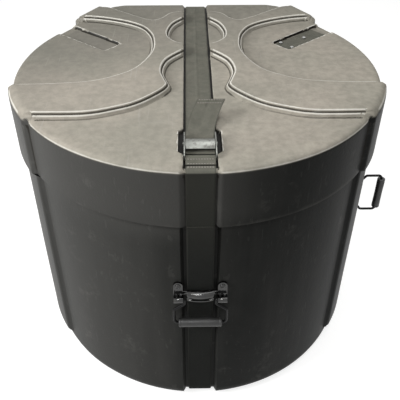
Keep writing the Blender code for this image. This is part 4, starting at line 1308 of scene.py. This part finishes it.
def row_on(route, distance, turned_over=False):
    """Where a crosswise row lies on a strap, at a distance from its end. The row is on
    the side that the strap thickens to, or on the other one where it is turned over."""
    even = stations(route, ROW_SPACING)
    faces = facings([stop.xyz for stop, run in even])
    k = min(range(len(even)), key=lambda i: abs(even[i][1] - distance))
    stop = even[k][0]
    if turned_over:
        return stop.xyz, Vector((1, 0, 0)), -faces[k]
    return stop.xyz + faces[k] * STRAP_THICKNESS * stop.w, Vector((1, 0, 0)), faces[k]


THREAD = sewing_thread()
end_of_front = stations(front_route(), ROW_SPACING)[-1][1]
front_rows = [row_on(front_route(), end_of_front - back, True) for back in FLAP_ROWS]
front_rows += [row_on(front_route(), out) for out in BAR_ROWS]
tail_rows = [row_on(rear_route(), out, True) for out in TAIL_ROWS]
for name, rows in (("front_stitches", front_rows), ("tail_stitches", tail_rows)):
    stitches = sew(name, rows, THREAD)
    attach(stitches, "lid")


# %% [markdown]
# The buckle, the brackets and the rivets are pressed and turned steel. A copy of each
# solid has its loose triangles joined again, and its sharp edges are rolled over by a
# fraction of a millimetre, because real edges catch the light.

# %% Plated steel
GRIME = (0.10, 0.095, 0.085)


def plated(name, low, high, rough, grime):
    """Plating with a brushed skin, and dull spots with grime at random places."""
    made, tree, surface = finish_for(name, Metallic=1.0)
    place = object_place(tree)
    spots = noise_at(tree, place, 160, 5, rough=0.65)
    cloud = noise_at(tree, place, 45, 3)
    brushed = noise_at(tree, place, 120, 3, (14, 1, 1))
    dull = times(tree, remap(tree, spots, 0.50, 0.68), grime)
    uneven = plus(tree, rough, times(tree, cloud, 0.14))
    paint(tree, surface, mix(tree, dull, mix(tree, cloud, low, high), GRIME),
          plus(tree, uneven, times(tree, dull, 0.35)))
    bump(tree, plus(tree, brushed, times(tree, spots, 0.6)), 0.12, 0.0003, surface)
    return made


BUCKLE_STEEL = plated("buckle_steel", (0.18, 0.185, 0.17), (0.27, 0.275, 0.255), 0.36, 0.6)
# The bracket's dark base colour is painted reflection: it stands in for the dark surroundings that
# its plating would reflect.
BRACKET_STEEL = plated("bracket_steel", (0.04, 0.04, 0.04), (0.085, 0.085, 0.084), 0.05, 0.3)
RIVET_STEEL = plated("rivet_steel", (0.26, 0.26, 0.25), (0.38, 0.38, 0.37), 0.34, 0.5)
DARK_RIVET = plated("dark_rivet", (0.03, 0.03, 0.03), (0.07, 0.07, 0.07), 0.26, 0.4)
print("steels:", BUCKLE_STEEL.name, BRACKET_STEEL.name, RIVET_STEEL.name, DARK_RIVET.name)


# %% Roll the edges of a pressed piece
JOINED, LEVEL, SHARP = 0.00002, 1.0, 26


def worked_copy(node_name, name, finish, body, width):
    """Copy a solid, join its triangles into faces and bevel its sharp edges."""
    bm = bmesh.new()
    bm.from_mesh(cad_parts[node_name].data)
    bm.transform(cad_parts[node_name].matrix_world)
    bmesh.ops.remove_doubles(bm, verts=bm.verts, dist=JOINED)
    bmesh.ops.dissolve_limit(bm, angle_limit=math.radians(LEVEL), verts=bm.verts,
                             edges=bm.edges, use_dissolve_boundaries=False)
    edges = [e for e in bm.edges if len(e.link_faces) == 2
             and e.calc_face_angle(0) > math.radians(SHARP)]
    bmesh.ops.bevel(bm, geom=edges, offset=width, offset_type="OFFSET", segments=2,
                    profile=0.5, material=-1, affect="EDGES", clamp_overlap=True)
    bmesh.ops.recalc_face_normals(bm, faces=bm.faces)
    piece = make_piece(name, bm, finish)
    stand_for(piece, node_name, body)
    print(name, "faces:", len(piece.data.polygons))


worked_copy("buckle_frame", "buckle_base", BUCKLE_STEEL, "lid", 0.0004)
worked_copy("buckle_lever", "thumb_lever", BUCKLE_STEEL, "lever", 0.0004)
worked_copy("buckle_pin", "lever_pin", BUCKLE_STEEL, "lid", 0.0003)
worked_copy("front_handle_bracket", "front_bracket", BRACKET_STEEL, "case", 0.0005)
worked_copy("side_handle_bracket", "side_bracket", BRACKET_STEEL, "case", 0.0005)


# %% [markdown]
# The buckle's spring is already wound in the solid model, and the washers sit inside the
# tub where nobody looks. Their shapes are right, so they stay and only get a finish.

# %% Finish for the solids that stay
def refinish(node_name, finish):
    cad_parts[node_name].data.materials[0] = finish
    print(node_name, "finished as", finish.name)


refinish("buckle_spring", BUCKLE_STEEL)
for side in ("front", "side"):
    for number in (1, 2):
        refinish(f"{side}_handle_washer_{number}", RIVET_STEEL)


# %% [markdown]
# Rivets are turned: an outline of their half section goes once round their axis. A handle
# has two, with a domed head on the bracket and a flat tail on a washer inside the tub.
# The handle's own frame has X along the hinge, Y into the tub and Z up from the hinge, so
# that one set of numbers serves both handles.

# %% Turned rivets
# The rivets' distances from the handle's middle and above its hinge
TAB = (0.0400, 0.0250)
# Half sections as (radius, height)
HANDLE_RIVET = ((0, -0.0123), (0.0030, -0.0123), (0.0034, -0.0119), (0.0034, -0.0106),
                (0.0025, -0.0105), (0.0025, 0.0023), (0.0046, 0.0023), (0.0048, 0.0026),
                (0.0047, 0.0031), (0.0041, 0.0037), (0.0032, 0.0042), (0.0021, 0.0044),
                (0.0019, 0.0041), (0.0009, 0.0040), (0, 0.0040))
POCKET_RIVET = ((0, 0.5851), (0.0034, 0.5851), (0.0034, 0.5867), (0.0018, 0.5867),
                (0.0018, 0.5938), (0.0040, 0.5938), (0.0040, 0.5943), (0.0036, 0.5949),
                (0.0028, 0.5953), (0.0016, 0.5954), (0.0013, 0.5951), (0, 0.5950))
# The patch's rivets in shares of its length and width
RIVET_SPOTS = ((0.10, 0.36), (0.10, -0.36), (0.58, 0.0))
RIVET_TURNS = 32
MERGED = 0.00001


def turned(name, profile, place, finish):
    """Turn a half section once round its own axis, close its poles and place it."""
    bm = bmesh.new()
    spin_round(bm, profile, RIVET_TURNS)
    bmesh.ops.remove_doubles(bm, verts=bm.verts, dist=MERGED)
    bmesh.ops.dissolve_degenerate(bm, edges=bm.edges, dist=MERGED)
    bm.transform(Matrix.Translation(AXIS) @ place)
    bmesh.ops.recalc_face_normals(bm, faces=bm.faces)
    return make_piece(name, bm, finish, 40)


SIDE_HEIGHT = 0.281
UPRIGHT = Matrix(((0, -1, 0), (0, 0, 1), (-1, 0, 0))).to_4x4()
HANDLES = {"front": Matrix.Translation((0, -TUB_RADIUS, HANDLE_HEIGHT)),
           "side": Matrix.Translation((TUB_RADIUS, 0, SIDE_HEIGHT)) @ UPRIGHT}
OUTWARD = Matrix.Rotation(math.radians(90), 4, "X")

for side, handle in HANDLES.items():
    for number, x in enumerate((-TAB[0], TAB[0]), 1):
        spot = handle @ Matrix.Translation((x, 0, TAB[1])) @ OUTWARD
        made = turned(f"{side}_rivet_{number}", HANDLE_RIVET, spot, DARK_RIVET)
        stand_for(made, f"{side}_handle_rivet_{number}", "case")

for number, (along, across) in enumerate(RIVET_SPOTS, 1):
    start, end, width = PATCH
    local = Vector((start + along * (end - start), across * width, 0))
    spot = (pocket_place(1) @ local).to_3d()
    made = turned(f"patch_rivet_{number}", POCKET_RIVET, Matrix.Translation((spot.x, spot.y, 0)),
                  RIVET_STEEL)
    stand_for(made, f"pocket_rivet_{number}", "lid")


# %% [markdown]
# Each bail is one bent wire. Its centre line is a chain of points with rounded corners, a
# curve follows it, and the curve's bevel gives the wire its thickness. Joined cylinders
# would do for the straight runs, but a curve keeps the wire round through its bends. The
# grip on the wire's lower run is a plastic tube with rolled ends and a parting line, and
# it is turned like the rivets.

# %% Coated wire and grip plastic
SCUFFED = (0.12, 0.12, 0.115)


def glossy_black(name, low, high, shine, rough, tooth):
    """Black coating or plastic with faint scuffs."""
    made, tree, surface = finish_for(name, Specular_IOR_Level=shine)
    place = object_place(tree)
    cloud = noise_at(tree, place, 60, 4)
    scuffs = noise_at(tree, place, 170, 5, rough=0.7)
    colour = stain(tree, mix(tree, cloud, low, high), remap(tree, scuffs, 0.60, 0.75), 0.35,
                   SCUFFED)
    paint(tree, surface, colour, plus(tree, rough, times(tree, cloud, 0.14)))
    bump(tree, scuffs, tooth, 0.0002, surface)
    return made


WIRE_COAT = glossy_black("coated_wire", (0.004, 0.004, 0.004), (0.010, 0.010, 0.010),
                         0.14, 0.14, 0.15)
GRIP_PLASTIC = glossy_black("grip_plastic", (0.016, 0.016, 0.016), (0.034, 0.034, 0.033),
                            0.5, 0.34, 0.3)
print("blacks:", WIRE_COAT.name, GRIP_PLASTIC.name)

# %% Bent wire
WIRE_RADIUS = 0.0028
PIVOT_STAND = 0.011
# Distances from the handle's middle: the wire's ends, its throat and its arms
PIN_END, THROAT, SPREAD = 0.0455, 0.0283, 0.0480
# Distances from the hinge: end of the straight, of the splay and of the arms, and the
# length that the corner takes up
STRAIGHT, SPLAY, ARM_LENGTH, CORNER = 0.0105, 0.0260, 0.061, 0.0050
WIRE_BEND = 0.0031


def rounded(points, reach, count=7):
    """Replace a chain's inner corners by arcs that take up a straight length."""
    route = [Vector(points[0])]
    for before, here, after in zip(points, points[1:], points[2:]):
        here = Vector(here)
        back = (Vector(before) - here).normalized()
        ahead = (Vector(after) - here).normalized()
        half_turn = (math.pi - back.angle(ahead)) / 2
        radius = reach / math.tan(half_turn)
        middle = here + (back + ahead).normalized() * radius / math.cos(half_turn)
        start, end = here + back * reach - middle, here + ahead * reach - middle
        turn = -start.angle_signed(end)
        for i in range(count + 1):
            route.append(middle + Matrix.Rotation(turn * i / count, 2) @ start)
    return route + [Vector(points[-1])]


def bent_wire(name, place):
    """A bail hanging from its hinge line, which is local X, carried to its place."""
    half = rounded([(PIN_END, 0), (THROAT, 0), (THROAT, STRAIGHT), (SPREAD, SPLAY),
                    (SPREAD, ARM_LENGTH - CORNER), (SPREAD - CORNER, ARM_LENGTH),
                    (0, ARM_LENGTH)], WIRE_BEND)
    line = [(x, 0, -z) for x, z in half] + [(-x, 0, -z) for x, z in reversed(half[:-1])]
    data = bpy.data.curves.new(name, "CURVE")
    data.dimensions = "3D"
    data.bevel_depth = WIRE_RADIUS
    data.bevel_resolution = 4
    data.use_fill_caps = True
    path = data.splines.new("POLY")
    path.points.add(len(line) - 1)
    for point, spot in zip(path.points, line):
        point.co = (*(Matrix.Translation(AXIS) @ place @ Vector(spot)), 1)
    holder = bpy.data.objects.new(name, data)
    bpy.context.scene.collection.objects.link(holder)
    mesh = bpy.data.meshes.new_from_object(
        holder.evaluated_get(bpy.context.evaluated_depsgraph_get()))
    bpy.data.objects.remove(holder, do_unlink=True)
    bm = bmesh.new()
    bm.from_mesh(mesh)
    bmesh.ops.remove_doubles(bm, verts=bm.verts, dist=MERGED)
    bmesh.ops.recalc_face_normals(bm, faces=bm.faces)
    return make_piece(name, bm, WIRE_COAT, 50)


# %% Moulded grip
GRIP_HALF, GRIP_RADIUS, GRIP_BORE = 0.0400, 0.0088, 0.0031
# The grip's end and its bead, as (change of radius, distance from the end)
GRIP_END = ((-0.0020, 0), (-0.0006, 0.0006), (0, 0.0020), (0, 0.0040), (-0.0004, 0.0046),
            (-0.0004, 0.0056), (0, 0.0064), (-0.0002, 0.0250), (-0.0003, 0.0400))
GRIP_TURNS = 56
# The parting line's share of the radius, and its half width as the sine of an angle
PARTING_LINE, PARTING_HALF, GRIP_SKIN = 1.018, 0.02, 0.001


def moulded_grip(name, place):
    """A tube with rolled ends, two shallow end beads and a thin parting line."""
    outline = [(GRIP_BORE, -GRIP_HALF)]
    outline += [(GRIP_RADIUS + change, along - GRIP_HALF) for change, along in GRIP_END]
    outline += [(radius, -height) for radius, height in reversed(outline[:-1])]
    bm = bmesh.new()
    spin_round(bm, outline, GRIP_TURNS, closed=True)
    bmesh.ops.remove_doubles(bm, verts=bm.verts, dist=MERGED)
    for v in bm.verts:
        turn = math.atan2(v.co.y, v.co.x)
        on_skin = math.hypot(v.co.x, v.co.y) > GRIP_RADIUS - GRIP_SKIN
        if on_skin and abs(math.sin(turn)) < PARTING_HALF:
            v.co.x *= PARTING_LINE
    lay = Matrix.Translation((0, 0, -ARM_LENGTH)) @ Matrix.Rotation(math.radians(90), 4, "Y")
    bm.transform(Matrix.Translation(AXIS) @ place @ lay)
    bmesh.ops.recalc_face_normals(bm, faces=bm.faces)
    return make_piece(name, bm, GRIP_PLASTIC)


for side, handle in HANDLES.items():
    swing = Matrix.Rotation(math.radians(-90 if side == "side" else 0), 4, "X")
    hinge = handle @ Matrix.Translation((0, -PIVOT_STAND, 0)) @ swing
    stand_for(bent_wire(f"{side}_wire", hinge), f"{side}_handle_bail", f"{side}_bail")
    stand_for(moulded_grip(f"{side}_grip", hinge), f"{side}_handle_grip", f"{side}_bail")
print("handles dressed:", list(HANDLES))
